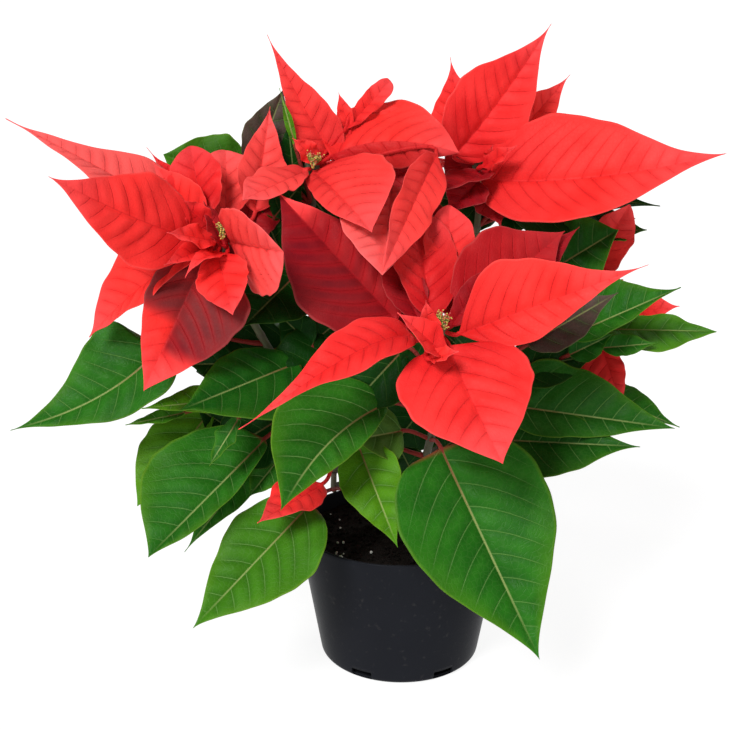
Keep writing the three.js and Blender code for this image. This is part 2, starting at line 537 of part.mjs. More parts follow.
// The soil fills the pot up to a little below its rim, with a plain hole for each cutting.
function soil() {
  const room = (z) => flare(z) - POT_WALL - GAP;
  const floor = POT_WALL + GAP;
  const fill = lathe(
    [
      [0, floor],
      [POT_BASE_RADIUS - POT_EDGE - GAP, floor],
      [room(POT_EDGE + GAP), POT_EDGE + GAP],
      [room(SOIL_LEVEL - 1), SOIL_LEVEL - 1],
      [room(SOIL_LEVEL) * 0.6, SOIL_LEVEL],
      [0, SOIL_LEVEL + 1],
    ],
    32,
  );
  return Object.values(CUTTINGS).reduce((left, { stems: [{ points: [[x, y]], radii: [thick] }] }) => {
    const depth = SOIL_LEVEL + 5 - STEM_FOOT;
    const hole = new THREE.CylinderGeometry(thick + HOLE_PLAY, thick + HOLE_PLAY, depth, 12);
    const placed = hole.rotateX(Math.PI / 2).translate(PLANT_X + x, y, STEM_FOOT - GAP + depth / 2);
    return left.subtract(solidOf(placed));
  }, fill);
}

// ---- The plant in its pot ----

const planted = (solid) => solid.translate(PLANT_X, 0, 0);
const poinsettia = new THREE.Group();
poinsettia.add(mesh('pot', pot(), POT_BLACK), mesh('potting_soil', soil(), SOIL_BROWN));
for (const [name, cutting] of Object.entries(CUTTINGS)) {
  poinsettia.add(mesh(`leafy_stem_${name}`, planted(leafyStem(cutting)), LEAF_GREEN));
}
for (const [name, head] of Object.entries(HEADS)) {
  poinsettia.add(mesh(`bracts_${name}`, planted(bracts(head)), BRACT_RED));
  if (head.cups) poinsettia.add(mesh(`cyathia_${name}`, planted(cyathia(head)), CUP_GREEN));
}

export default poinsettia;
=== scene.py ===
# %% [markdown]
# # A potted poinsettia
#
# The plant is about 36 cm tall and stands in a black 12 cm nursery pot. Three rooted cuttings
# branch into stems that end in heads: red bracts round a few small cups, the real flowers.
# Most of what one sees is one form repeated with different numbers: a thin, folded, waved blade.
# So the lesson makes one good blade, then plants it from rows of numbers.
#
# The frame is in metres, with the origin under the middle of the pot and the plant's front
# towards -Y. Shapes and rows are written in millimetres, which are easier to read, and become
# metres when they are put into a mesh.

# %% Load the frame
import math

import bpy
import numpy as np
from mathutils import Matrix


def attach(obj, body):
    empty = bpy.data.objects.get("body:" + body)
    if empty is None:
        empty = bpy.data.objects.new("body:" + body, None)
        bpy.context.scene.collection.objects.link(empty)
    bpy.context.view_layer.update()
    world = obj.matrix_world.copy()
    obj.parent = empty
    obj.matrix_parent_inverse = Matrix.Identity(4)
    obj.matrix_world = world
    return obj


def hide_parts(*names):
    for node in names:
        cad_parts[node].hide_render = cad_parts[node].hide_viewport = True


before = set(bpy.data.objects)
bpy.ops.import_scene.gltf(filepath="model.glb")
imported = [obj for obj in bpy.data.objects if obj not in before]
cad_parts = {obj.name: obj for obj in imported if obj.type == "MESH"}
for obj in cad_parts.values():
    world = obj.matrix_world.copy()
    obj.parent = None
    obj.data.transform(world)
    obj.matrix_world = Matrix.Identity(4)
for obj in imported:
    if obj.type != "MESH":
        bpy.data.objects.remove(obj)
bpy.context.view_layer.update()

# %% [markdown]
# The camera comes first. It stands a little above the plant, 68 cm in front of it, and looks down
# so far that the soil in the pot shows. A long-ish lens keeps the near leaves from swelling.

# %% Camera
camera_data = bpy.data.cameras.new("camera")
camera_data.sensor_width = 36
camera_data.lens = 62
camera = bpy.data.objects.new("camera", camera_data)
camera.location = (-0.0205, -0.676, 0.375)
camera.rotation_euler = (math.radians(73.5), 0, 0)
bpy.context.scene.collection.objects.link(camera)
bpy.context.scene.camera = camera
print("lens", camera_data.lens, "mm")

# %% [markdown]
# Materials are built from nodes, and node trees read badly as a list of links. Two small classes
# make them read like arithmetic. The first, `Flow`, is a number that comes out of a node: adding
# to it or multiplying it adds a Math node.

# %% Numbers that flow through a material
class Flow:
    """A node's output. Arithmetic with numbers or other flows adds Math nodes."""

    def __init__(self, paint, socket):
        self.paint, self.socket = paint, socket

    def math(self, operation, *values):
        return self.paint.node("ShaderNodeMath", dict(enumerate(values)), operation=operation)

    def __add__(self, other):
        return self.math("ADD", self, other)

    def __sub__(self, other):
        return self.math("SUBTRACT", self, other)

    def __rsub__(self, other):
        return self.math("SUBTRACT", other, self)

    def __mul__(self, other):
        return self.math("MULTIPLY", self, other)

    def __abs__(self):
        return self.math("ABSOLUTE", self)

    def fraction(self):
        return self.math("FRACT", self)

    def smooth(self, low, high):
        """0 below low, 1 above high, with a soft change between (or the reverse if low > high)."""
        values = {"Value": self, "From Min": low, "From Max": high}
        return self.paint.node("ShaderNodeMapRange", values, interpolation_type="SMOOTHSTEP")

    __radd__ = __add__
    __rmul__ = __mul__


print(sum(callable(value) for value in vars(Flow).values()) - 1, "things can be done with a flow")

# %% [markdown]
# The second, `Paint`, is one material. Its `node` makes any node from its settings and the values
# or links of its sockets; the others are short ways to the few nodes that come up all the time.

# %% A material
class Paint:
    """One material with its nodes."""

    def __init__(self, name):
        self.material = bpy.data.materials.new(name)
        self.material.use_nodes = True
        self.tree = self.material.node_tree
        self.tree.nodes.clear()

    def node(self, kind, sockets=None, out=0, **settings):
        """A node with its settings, then its sockets' values or links; gives its output."""
        made = self.tree.nodes.new(kind)
        for name, value in settings.items():
            setattr(made, name, value)
        for name, value in (sockets or {}).items():
            if isinstance(value, Flow):
                self.tree.links.new(value.socket, made.inputs[name])
            else:
                made.inputs[name].default_value = value
        return Flow(self, made.outputs[out]) if made.outputs else made

    def place(self):
        """The point on the object, in metres."""
        return self.node("ShaderNodeTexCoord", out="Object")

    def number(self, name):
        """A number stored on the mesh."""
        return self.node("ShaderNodeAttribute", out="Fac", attribute_name=name)

    def map(self, name):
        """Both numbers of a UV map."""
        split = self.node("ShaderNodeSeparateXYZ", {0: self.node("ShaderNodeUVMap", uv_map=name)})
        node = split.socket.node
        return Flow(self, node.outputs[0]), Flow(self, node.outputs[1])

    def noise(self, vector, scale, detail=2.0):
        """Soft random blots, about 0.5; the scale is blots per metre."""
        values = {"Vector": vector, "Scale": scale, "Detail": detail}
        return self.node("ShaderNodeTexNoise", values, out="Fac")

    def mix(self, amount, one, other):
        """One colour where amount is 0 and the other where it is 1."""
        values = {0: amount, 6: one, 7: other}
        return self.node("ShaderNodeMix", values, out=2, data_type="RGBA")

    def bump(self, height, distance, strength):
        """The surface's direction as if it rose by height times distance, in metres."""
        values = {"Height": height, "Distance": distance, "Strength": strength}
        return self.node("ShaderNodeBump", values, out="Normal")

    def finish(self, **sockets):
        """The surface itself; a socket's name is written with _ for its spaces."""
        named = {name.replace("_", " "): value for name, value in sockets.items()}
        surface = self.node("ShaderNodeBsdfPrincipled", named, out="BSDF")
        self.node("ShaderNodeOutputMaterial", {"Surface": surface})
        return self.material


trial = Paint("trial")
print("1 - x is a node to", (1 - trial.number("x")).socket.node.operation)
bpy.data.materials.remove(trial.material)

# %% [markdown]
# The plant stands on a white table. A white surface in soft light still comes out grey, so the
# table glows a little, as a sweep does that is lit from below, and stays white in the shadows.

# %% Floor
TABLE_HALF = 90  # metres, so that its edge is never seen


def colour(red, green, blue):
    return (red, green, blue, 1.0)


def floor_paint():
    paint = Paint("floor")
    speck = paint.noise(paint.place(), 40.0)
    shade = paint.mix(speck * 0.5, colour(0.2, 0.2, 0.2), colour(0.18, 0.18, 0.18))
    return paint.finish(
        Base_Color=shade, Roughness=0.9, Emission_Color=colour(1, 1, 1), Emission_Strength=0.86
    )


corners = [(TABLE_HALF * x, TABLE_HALF * y, 0) for x, y in ((-1, -1), (1, -1), (1, 1), (-1, 1))]
floor_mesh = bpy.data.meshes.new("floor")
floor_mesh.from_pydata(corners, [], [(0, 1, 2, 3)])
floor = bpy.data.objects.new("floor", floor_mesh)
floor.data.materials.append(floor_paint())
bpy.context.scene.collection.objects.link(floor)
print("a table of", 2 * TABLE_HALF, "m")

# %% [markdown]
# The light is that of a soft studio. One broad lamp far off, high on the left and in front of the
# plant, gives the pleats their light and shaded sides; it is a sun lamp with a wide disc, so the
# light is the same all over the table and its shadows are soft. A weaker one stands behind. The
# sky is grey overhead, which keeps the leaves' colours deep, and white low down.

# %% Sky and lamps
def white_low_sky(low, high):
    """A world whose brightness falls from the horizon (low) to overhead (high)."""
    world = bpy.data.worlds.new("sky")
    world.use_nodes = True
    nodes, links = world.node_tree.nodes, world.node_tree.links
    split = nodes.new("ShaderNodeSeparateXYZ")
    ramp = nodes.new("ShaderNodeMapRange")
    for name, value in (("From Min", 0.2), ("From Max", 0.5), ("To Min", low), ("To Max", high)):
        ramp.inputs[name].default_value = value
    links.new(nodes.new("ShaderNodeTexCoord").outputs["Generated"], split.inputs[0])
    links.new(split.outputs["Z"], ramp.inputs["Value"])
    links.new(ramp.outputs["Result"], nodes["Background"].inputs["Strength"])
    nodes["Background"].inputs["Color"].default_value = colour(1, 1, 1)
    return world


def far_lamp(name, x, y, z, power, width):
    """A sun lamp that shines from (x, y, z) towards the origin, its disc width degrees wide."""
    light = bpy.data.lights.new(name, "SUN")
    light.energy, light.angle = power, math.radians(width)
    made = bpy.data.objects.new(name, light)
    bpy.context.scene.collection.objects.link(made)
    made.rotation_euler = (math.atan2(math.hypot(x, y), z), 0, math.atan2(y, x) + math.pi / 2)


bpy.context.scene.world = white_low_sky(0.9, 0.25)
bpy.context.scene.view_settings.view_transform = "Standard"
far_lamp("key", -0.55, -0.95, 0.95, 3.1, 20)
far_lamp("rear", 0.7, 0.8, 0.8, 0.7, 40)

# %% [markdown]
# Every surface here is worked out with numpy as whole arrays of points, one function of two
# numbers at a time. `Shell` collects such surfaces for one piece: grids of points closed round,
# with a point at each end, and a few numbers for each vertex that the material reads.

# %% Gathering surfaces
class Shell:
    """Tubes of points gathered for one mesh, with their numbers for the material.

    The mesh stands `beside` millimetres along X from where its points say."""

    def __init__(self, beside=0.0):
        self.beside = beside
        self.points, self.quads, self.triangles, self.numbers = [], [], [], []
        self.count = 0

    def add(self, rings, first, last, **numbers):
        """Rings (n, m, 3) closed round, with an end point before and after them.

        A number is one value, or an array that has a value for each ring and place (n, m).
        A face is cut from its first corner to its third. In every other quarter it starts one
        corner later, so that on both sides of a blade the cuts run along the side veins."""
        n, m = rings.shape[:2]
        self.points.append(np.vstack([first[None], rings.reshape(-1, 3), last[None]]))
        i, j = np.meshgrid(np.arange(n - 1), np.arange(m), indexing="ij")
        here, beside = 1 + i * m + j, 1 + i * m + (j + 1) % m
        quads = np.stack([here, beside, beside + m, here + m], -1)
        later = j % (m // 2) < m // 4
        quads[later] = np.roll(quads, -1, -1)[later]
        quads = quads.reshape(-1, 4)
        j = np.arange(m)
        tip = n * m + 1
        start = np.stack([0 * j, 1 + (j + 1) % m, 1 + j], -1)
        end = np.stack([0 * j + tip, 1 + (n - 1) * m + j, 1 + (n - 1) * m + (j + 1) % m], -1)
        self.quads.append(quads + self.count)
        self.triangles.append(np.vstack([start, end]) + self.count)
        spread = {}
        for name, value in numbers.items():
            full = np.broadcast_to(value, (n, m))
            spread[name] = np.concatenate([full[0, :1], full.ravel(), full[-1, :1]])
        self.numbers.append(spread)
        self.count += n * m + 2


trial = Shell()
trial.add(np.zeros((3, 8, 3)), np.zeros(3), np.zeros(3))
print("3 rings of 8 make", trial.count, "points and", len(trial.quads[0]), "faces with 4 corners")

# %% [markdown]
# A full shell is put into a mesh in one go. Faces with four corners come first, then those with
# three, and `foreach_set` hands each array over whole, which is hundreds of times faster than
# point by point. Then the piece is told which body it rides on and which solids it stands for.

# %% From a shell to an object
def numbers_of(shell):
    """Each of the shell's numbers as one array for all its points."""
    return {key: np.concatenate([part[key] for part in shell.numbers]) for key in shell.numbers[0]}


def mesh_of(shell, name):
    """The mesh, shaded smooth, and the point at each corner of its faces."""
    points = np.concatenate(shell.points) + (shell.beside, 0, 0)
    quads, triangles = np.concatenate(shell.quads), np.concatenate(shell.triangles)
    corners = np.concatenate([quads.ravel(), triangles.ravel()])
    third = quads.size + np.arange(len(triangles)) * 3
    starts = np.concatenate([np.arange(len(quads)) * 4, third])
    mesh = bpy.data.meshes.new(name)
    mesh.vertices.add(len(points))
    mesh.vertices.foreach_set("co", (points * 0.001).ravel())
    mesh.loops.add(len(corners))
    mesh.loops.foreach_set("vertex_index", corners)
    mesh.polygons.add(len(starts))
    mesh.polygons.foreach_set("loop_start", starts)
    mesh.update(calc_edges=True)
    mesh.polygons.foreach_set("use_smooth", np.ones(len(starts), bool))
    print(name, 2 * len(quads) + len(triangles), "triangles")
    return mesh, corners


def piece(shell, name, paint, nodes, maps=()):
    """The object, riding on the plant and standing for its CAD nodes.

    Each of maps is a UV map made of the numbers `name_x` and `name_y`."""
    mesh, corners = mesh_of(shell, name)
    numbers = numbers_of(shell)
    for map_name in maps:
        both = [numbers.pop(map_name + "_x"), numbers.pop(map_name + "_y")]
        layer = mesh.uv_layers.new(name=map_name)
        layer.data.foreach_set("uv", np.stack(both, -1)[corners].ravel())
    for key, values in numbers.items():
        layer = mesh.attributes.new(key, "FLOAT", "POINT")
        layer.data.foreach_set("value", values.astype(np.float32))
    made = bpy.data.objects.new(name, mesh)
    made.data.materials.append(paint)
    bpy.context.scene.collection.objects.link(made)
    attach(made, "root")
    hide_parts(*nodes)
    return made


print("pieces are made in millimetres and stored in metres")

# %% [markdown]
# A blade is a leaf or a bract. On the plant it is one sheet of tissue hung on a strong midrib:
# the halves rise from the rib like an open book, the sheet puffs up between the side veins, and
# the margin, which grows longer than the rib, has to wave. A stalk carries it.
#
# The blade is a function of two numbers: u runs from its base (0) to its tip (1) and v across it,
# from the left margin (-1) to the right one (1). Each feature is one term of its height.

# %% The outline of a blade
PLAIN_BLADE = dict(
    belly=0.4,  # where it is widest, from base to tip
    heel=0.6,  # how quickly it widens: small is blunt
    point=1.8,  # how slender its tip is
    bow=0,  # how far the middle lifts towards the face
    peak=0.45,  # where the bow and the swing are greatest
    swing=0,  # how far the middle bends sideways
    fold=14,  # degrees that each half rises from the midrib
    lop=0,  # how much wider the right half is than the left
    cup=0,  # how much the margins curl up
    wave=1,  # height of the margin's waves
    root=None,  # near where its stalk starts
)
STALK_RADIUS = 1.1


def blade(base, tip, width, face, tone, **changes):
    """A row for one blade: ends, width, the way its upper face looks, tone and shape."""
    return dict(PLAIN_BLADE, base=base, tip=tip, width=width, face=face, tone=tone, **changes)


def hump(u, peak):
    """0 at both ends and 1 at the peak: (u/peak)^(2 peak) times ((1-u)/(1-peak))^(2-2 peak)."""
    return (u / peak) ** (2 * peak) * ((1 - u) / (1 - peak)) ** (2 - 2 * peak)


def outline(u, belly, heel, point):
    """Width as a part of the greatest: a power of a circle's arc up to the belly, then a
    falling power with a round shoulder."""
    rising = np.clip(1 - (1 - u / belly) ** 2, 0, 1) ** heel
    past = np.clip((u - belly) / (1 - belly), 0, 1)
    return np.where(u < belly, rising, (1 - past) ** point * (1 + point * past))


for u in (0.1, 0.4, 0.9):
    print("width at", u, round(float(outline(u, 0.4, 0.6, 1.8)), 2))

# %% [markdown]
# A blade hangs on its midrib, so that comes first: a line from base to tip that may bow towards
# the face and swing aside. At each step along it three directions, square to one another, say
# where ahead, up and across are. The steps lie closer together near both ends, where the outline
# turns most, and near the midrib and the margin, where the height changes most.

# %% The midrib of a blade
WIDE = 24  # a blade this wide or wider gets the finer grid
WIDE_SIDE = np.array([0, 0.03, 0.08, 0.15, 0.24, 0.35, 0.47, 0.59, 0.71, 0.82, 0.91, 0.965, 1])
NARROW_SIDE = np.array([0, 0.08, 0.2, 0.4, 0.62, 0.84, 0.96, 1])


def unit(rows):
    """Directions at length 1."""
    return rows / np.linalg.norm(rows, axis=-1, keepdims=True)


def square(direction, axis):
    """The part of a direction that is square to the axis, at length 1."""
    return unit(direction - axis * np.sum(direction * axis, -1, keepdims=True))


def soft(x):
    """0 up to 0, 1 from 1 on, with a soft change between."""
    x = np.clip(x, 0, 1)
    return x * x * (3 - 2 * x)


def steps_of(row):
    """Steps along the blade (u, 0 to 1), across it (v, -1 to 1) and along its stalk (s, 0 to 1)."""
    wide = row["width"] >= WIDE
    rings, stalk_rings, side = (60, 10, WIDE_SIDE) if wide else (34, 8, NARROW_SIDE)
    x = np.linspace(0, 1, rings + 1)[:-1]
    s = np.linspace(0, 1, stalk_rings + 1)[:-1]
    return 0.6 * x + 0.4 * soft(x), np.concatenate([-side[:0:-1], side]), s


def line_of(row):
    """The base, the length, and the directions to the tip and up out of the face."""
    base, tip = np.array(row["base"], float), np.array(row["tip"], float)
    length = np.linalg.norm(tip - base)
    along = (tip - base) / length
    return base, length, along, square(np.array(row["face"], float), along)


def midrib(row, u):
    """Points straight from base to tip, plus bow (up) and swing (across) times the hump."""
    base, length, along, up = line_of(row)
    across = np.cross(along, up)
    lift = hump(u, row["peak"])[:, None]
    return base + along * length * u[:, None] + (up * row["bow"] + across * row["swing"]) * lift


def directions(row, u):
    """Ahead, up and across at each step. Ahead leads from a little before it to a little past."""
    ahead = unit(midrib(row, np.minimum(u + 0.02, 1)) - midrib(row, np.maximum(u - 0.02, 0)))
    up = square(np.broadcast_to(line_of(row)[3], ahead.shape), ahead)
    return ahead, up, np.cross(ahead, up)


print("a ring has", 2 * (2 * len(WIDE_SIDE) - 1), "or", 2 * (2 * len(NARROW_SIDE) - 1), "points")

# %% [markdown]
# A grown margin isn't as even as the outline: it has small lobes, which differ from side to side
# and from blade to blade. Two sines of unlike length do for that, each started at random.

# %% The margin of a blade
def fill_of(row, u):
    """The row's outline at u."""
    return outline(u, row["belly"], row["heel"], row["point"])


def reach_of(row, kind, u, v, starts):
    """How far the margin is from the midrib: half the width times the outline, more on the right
    by lop and less on the left, and uneven by the lobes. It is never narrower than the stalk."""
    sides = np.sign(v)
    lobes = 0.03 * np.sin(19 * u + starts[0] + 2 * sides)
    lobes = lobes + 0.02 * np.sin(41 * u + starts[1] - sides)
    lobes = lobes * kind["lobes"] * soft(u * 6) * min(1, 30 / row["width"])
    stalk = STALK_RADIUS * soft(1.2 - 4 * u) + 0.15
    half = np.maximum(row["width"] / 2 * fill_of(row, u), stalk)
    return half * (1 + row["lop"] * sides) * (1 + lobes)


# What a bract and a leaf have of each feature, in mm; lobes are a share.
BRACT = dict(vein_gap=9, puff=1.2, groove=0.5, ruffle=0.5, thickness=0.6, rib=0.7, lobes=1.0)
LEAF = dict(vein_gap=11, puff=1.1, groove=0.6, ruffle=0.4, thickness=0.7, rib=1.0, lobes=0.8)
print("a leaf is", LEAF["thickness"], "mm thick and its rib", LEAF["rib"], "mm deep")

# %% [markdown]
# Side veins leave the midrib at a slant and bend towards the tip. Instead of drawing them, a
# number q is worked out that grows by 1 from each vein to the next, so a vein is where q is
# whole. The surface puffs up between whole numbers, and the material, which works out the same q
# from the same map, colours them. The two halves are half a step apart, as on the plant.

# %% Veins, puffs and waves
VEIN_SLANT = 0.5  # forward for each step sideways
VEIN_BEND = 0.15
WAVES = 2.5  # along each margin


def vein_gap(row, kind):
    """Millimetres from one side vein to the next, more on a wide blade."""
    return kind["vein_gap"] * (0.7 + 0.3 * min(row["width"] / 50, 1.7))


def vein_number(along, aside):
    """Whole on a side vein; both measured in steps between veins."""
    out = np.abs(aside)
    return along - VEIN_SLANT * out - VEIN_BEND * out**2 + 0.5 * (aside < 0)


def puffs(row, kind, u, v, aside, q, start):
    """A pillow between whole q that fades at the midrib and the margin, uneven by a sine of q."""
    between = 1 - np.abs(2 * (q % 1) - 1) ** 2.4
    inner = soft(np.abs(aside) / 4) * (1 - np.abs(v) ** 3)
    puff = kind["puff"] * between * inner * np.sqrt(fill_of(row, u)) * min(row["width"] / 40, 1.2)
    return puff * (1 + 0.4 * np.sin(5 * q + start))


def waves(row, kind, u, v, starts):
    """A long wave, a sine of u that grows with v, and a ruffle of two short ones at the margin."""
    long = row["wave"] * np.sin(2 * np.pi * (WAVES * u + 0.25 * v)) * np.abs(v) ** 1.5
    ruffle = np.sin(17 * u + starts[2] + 1.5 * v) + 0.6 * np.sin(31 * u + starts[3] - 2 * v)
    return (long + kind["ruffle"] * ruffle * np.abs(v) ** 3) * np.sqrt(fill_of(row, u))


def faces_of(row, kind, u, v, reach, q, starts):
    """Heights of the upper and the under face over the midrib. Upper: fold and cup, waves and
    puffs, less the groove. Under: lower by the thickness, and by the rib along the middle."""
    aside = v * reach
    fold = np.abs(v) * reach * math.sin(math.radians(row["fold"])) + row["cup"] * v**2 * reach
    groove = kind["groove"] * np.exp(-((aside / 1.3) ** 2)) * (1 - u) ** 0.5
    puff = puffs(row, kind, u, v, aside, q, starts[0])
    upper = fold + waves(row, kind, u, v, starts) + puff - groove
    thick = kind["thickness"] * (1 - 0.45 * np.abs(v) ** 2)
    rib = kind["rib"] * np.exp(-((aside / 1.4) ** 2)) * (1 - 0.75 * u)
    return upper, upper - thick - rib + groove


print("vein numbers across:", vein_number(4.0, np.array([-1.0, 0.0, 1.0])))

# %% [markdown]
# The stalk (a leaf's petiole) is one smooth curve. It leaves the stem towards the blade and
# arrives in line with the midrib, so nothing kinks where they meet. Its rings have as many points
# as the blade's, so that one grid runs through both and the blade needs no seam.

# %% The stalk
def stalk_of(base, root, ahead, up, s, v):
    """Round rings, half a turn over and half under, on a cubic curve from the root to the base:
    the four weights of s add up the two ends and the directions there. It is thicker at its
    root by half."""
    s, gap = s[:, None], base - root
    leave, arrive = gap, ahead * np.linalg.norm(gap)
    curve = (
        (2 * s**3 - 3 * s**2 + 1) * root + (s**3 - 2 * s**2 + s) * leave
        + (3 * s**2 - 2 * s**3) * base + (s**3 - s**2) * arrive
    )
    way = unit(np.gradient(np.vstack([curve, base]), axis=0))[:-1]
    stalk_up = square(np.broadcast_to(up, way.shape), way)
    stalk_side = np.cross(way, stalk_up)
    radius = STALK_RADIUS * (1 + 0.5 * np.exp(-((s / 0.12) ** 2)))
    arch = np.sqrt(np.clip(1 - v**2, 0, 1))
    aside, high = np.concatenate([v, v[::-1]]), np.concatenate([arch, -arch[::-1]])
    ring = stalk_side[:, None] * aside[:, None] + stalk_up[:, None] * high[:, None]
    return curve[:, None] + radius[:, None] * ring


ahead, up = np.array([0, 0, 1.0]), np.array([0, 1.0, 0])
trial = stalk_of(10 * ahead, 0 * ahead, ahead, up, np.arange(8) / 8, np.linspace(-1, 1, 9))
print("a stalk of 10 mm has", trial.shape[0], "rings of", trial.shape[1], "points")

# %% [markdown]
# Now the parts come together. The upper face is a grid of points, the under face is the same grid
# a thickness lower and read backwards, so the two close to one ring at each step. Along with its
# points a blade leaves numbers for the material: the map that counts its veins, the place (v, u),
# and how dark (painted shade), pale (partly painted light) and tinted it is.

# %% A whole blade
def darkness(tone, u, v):
    """Each half's amount of painted shade, up to where its dark part ends, if the tone says so."""
    left = soft(0.5 - v * 8)
    until_left, until_right = (*tone[4:], 2, 2)[:2]
    dark = left * tone[0] * soft((until_left - u) / 0.16 + 0.5)
    return dark + (1 - left) * tone[1] * soft((until_right - u) / 0.16 + 0.5)


def blade_surface(shell, row, root, kind, chance):
    """Adds one blade with its stalk to a shell.

    A point lies at v times the reach across from the midrib and at its face's height over it.
    Over the first twentieth of the blade the flat section turns into the stalk's round one."""
    base, length, _, _ = line_of(row)
    steps_u, steps_v, s = steps_of(row)
    ahead, up, across = directions(row, steps_u)
    u, v = steps_u[:, None], steps_v[None, :]
    starts = 6.283 * np.array([chance, 7.3 * chance, 3.1 * chance, 5.7 * chance])
    gap = vein_gap(row, kind)
    reach = reach_of(row, kind, u, v, starts)
    aside = v * reach
    q = vein_number(u * length / gap, aside / gap)
    upper, under = faces_of(row, kind, u, v, reach, q, starts)

    flat = soft(u / 0.05)
    arch = STALK_RADIUS * np.sqrt(np.clip(1 - v**2, 0, 1))
    out = aside * (np.cos(math.radians(row["fold"])) * flat + (1 - flat))
    middle = midrib(row, steps_u)[:, None]

    def face(height):
        return middle + across[:, None] * out[..., None] + up[:, None] * height[..., None]

    top = face(flat * upper + (1 - flat) * arch)
    bottom = face(flat * under - (1 - flat) * arch)
    stalk = stalk_of(base, root, ahead[0], up[0], s, steps_v)
    rings = np.concatenate([stalk, np.concatenate([top, bottom[:, ::-1]], 1)])
    tip = np.array(row["tip"], float) + up[-1] * (upper[-1, len(steps_v) // 2] - 0.3)

    def whole(on_stalk, on_blade):
        one = np.broadcast_to(on_blade, aside.shape)
        both = np.concatenate([one, one[:, ::-1]], 1)
        return np.concatenate([np.broadcast_to(on_stalk, (len(s), both.shape[1])), both])

    back = (s[:, None] - 1) * np.linalg.norm(base - root) / gap
    tone = row["tone"]
    is_under = np.zeros(rings.shape[:2])
    is_under[len(s):, len(steps_v):] = 1
    # Of these numbers, dark is painted shade and pale is partly painted light.
    shell.add(
        rings, root, tip,
        veins_x=whole(back, u * length / gap), veins_y=whole(0.0, aside / gap),
        place_x=whole(0.0, v), place_y=whole(s[:, None] - 1, u),
        dark=whole((tone[0] + tone[1]) / 2, darkness(tone, u, v)),
        pale=tone[2], tint=tone[3], chance=chance, under=is_under,
    )


trial = Shell()
upright = blade((0, 0, 0), (0, 0, 90), 50, (0, -1, 0), (0, 0, 0, 0))
blade_surface(trial, upright, np.array([0, 0, -30.0]), LEAF, 0.5)
print("one blade has", trial.count, "points")

# %% [markdown]
# The rows. A tone says how dark the left half is, how dark the right half is, how pale the
# whole blade is, and how much it takes the third colour: dull brown in the painted shade towards
# the base of a dark bract, wine red all over a leaf. The dark amounts are painted shade, for
# blades that lie deep in the plant or turn a half from the light; the pale amounts are partly a
# blade's own paler colour and partly painted light. Two more numbers, where a tone has them, say
# how far along the left and the right half the dark part goes.
#
# Each row here has a blade of the CAD solids behind it, with nearly the same numbers: about one in
# five has another width or outline, or ends some millimetres further on or back. The bracts come
# first, head by head. In each head the large ones in front are followed by those behind.

# %% The rows of bracts
# Dark amounts here are painted shade: for bracts deep in a head, for a half turned from the light,
# and for the shaded upper part of a split bract. Pale amounts are partly a bract's own paler pink
# and partly painted light.
RED = (0.05, 0.05, 0.03, 0)
SOFT_SHADE = (0.25, 0.25, 0, 0)
SALMON = (0, 0, 0.2, 0)
PALE = (0, 0, 0.4, 0)
ROSE = (0, 0.1, 0.1, 0)
CREAM = (0, 0, 0.5, 0)
HALF_SHADED = (0, 0.5, 0.02, 0)
SPLIT = (0.95, 1, 0, 0.8, 0.7, 0.45)
DARK = (0.85, 0.85, 0, 0.2)
MID_SHADE = (0.4, 0.4, 0, 0)
DUSK = (0.7, 0.7, 0, 0)
DULL_SHADE = (0.95, 0.8, 0, 0.35, 1.2, 0.8)

LEFT_BRACTS = [
    blade((-107, -43, 255), (-168, -82, 292), 48, (-0.2, -0.85, 0.5), RED,
          belly=0.33, point=1.75, swing=-2, fold=8),
    blade((-103, -20, 257), (-208, -5, 312), 42, (0.15, -0.45, 0.9), PALE,
          belly=0.3, point=2.3, swing=1, fold=12),
    blade((-112, -5, 268), (-137, 10, 295), 16, (0, -1, 0.2), SOFT_SHADE, belly=0.3, point=3),
    blade((-103, -27, 261), (-110, -10, 298), 30, (-0.1, -1, 0.3), SOFT_SHADE, belly=0.55, point=0.8),
    blade((-102, -30, 257), (-130, -14, 290), 26, (-0.3, -1, 0.3), RED),
    blade((-92, -18, 261), (-93, 4, 294), 32, (0.1, -1, 0.2), SALMON, belly=0.6, point=0.7),
    blade((-77, -10, 263), (-69, 6, 317), 27, (0.3, -1, 0), SALMON, belly=0.36, point=1.7),
    blade((-87, -36, 251), (-58, -80, 255), 50, (-0.75, -0.57, -0.32), SALMON,
          wave=0.3, belly=0.5, heel=0.4, point=0.7),
    blade((-94, -43, 246), (-84, -72, 222), 28, (-0.1, -0.85, 0.5), RED,
          belly=0.45, heel=0.5, point=1.3),
    blade((-106, -40, 247), (-165, -34, 200), 38, (-0.5, -0.65, 0.6), RED,
          belly=0.42, heel=0.5, point=1.5, bow=5, lop=0.3),
    blade((-102, -40, 242), (-131, -68, 181), 56, (-0.1, -0.95, 0.25), SPLIT,
          belly=0.25, heel=0.45, point=1.25, lop=-0.28),
    blade((-98, -14, 248), (-136, 2, 254), 30, (0, -1, 0.1), DARK, point=1.2),
    blade((-95, -14, 256), (-101, 5, 286), 30, (0, -1, 0.3), DARK, point=1.2),
    blade((-89, -14, 254), (-62, 0, 273), 28, (0, -1, 0.1), DARK, point=1.2),
    blade((-99, -22, 244), (-123, -20, 217), 26, (0, -1, 0.1), DARK, point=1.2),
    blade((-98, -20, 250), (-152, 28, 248), 34, (-0.2, 0.4, 0.9), RED),
    blade((-94, -18, 250), (-122, 48, 228), 36, (-0.2, 0.5, 0.8), RED, bow=5),
    blade((-86, -20, 250), (-80, 44, 238), 34, (0.1, 0.5, 0.8), RED, bow=4),
]

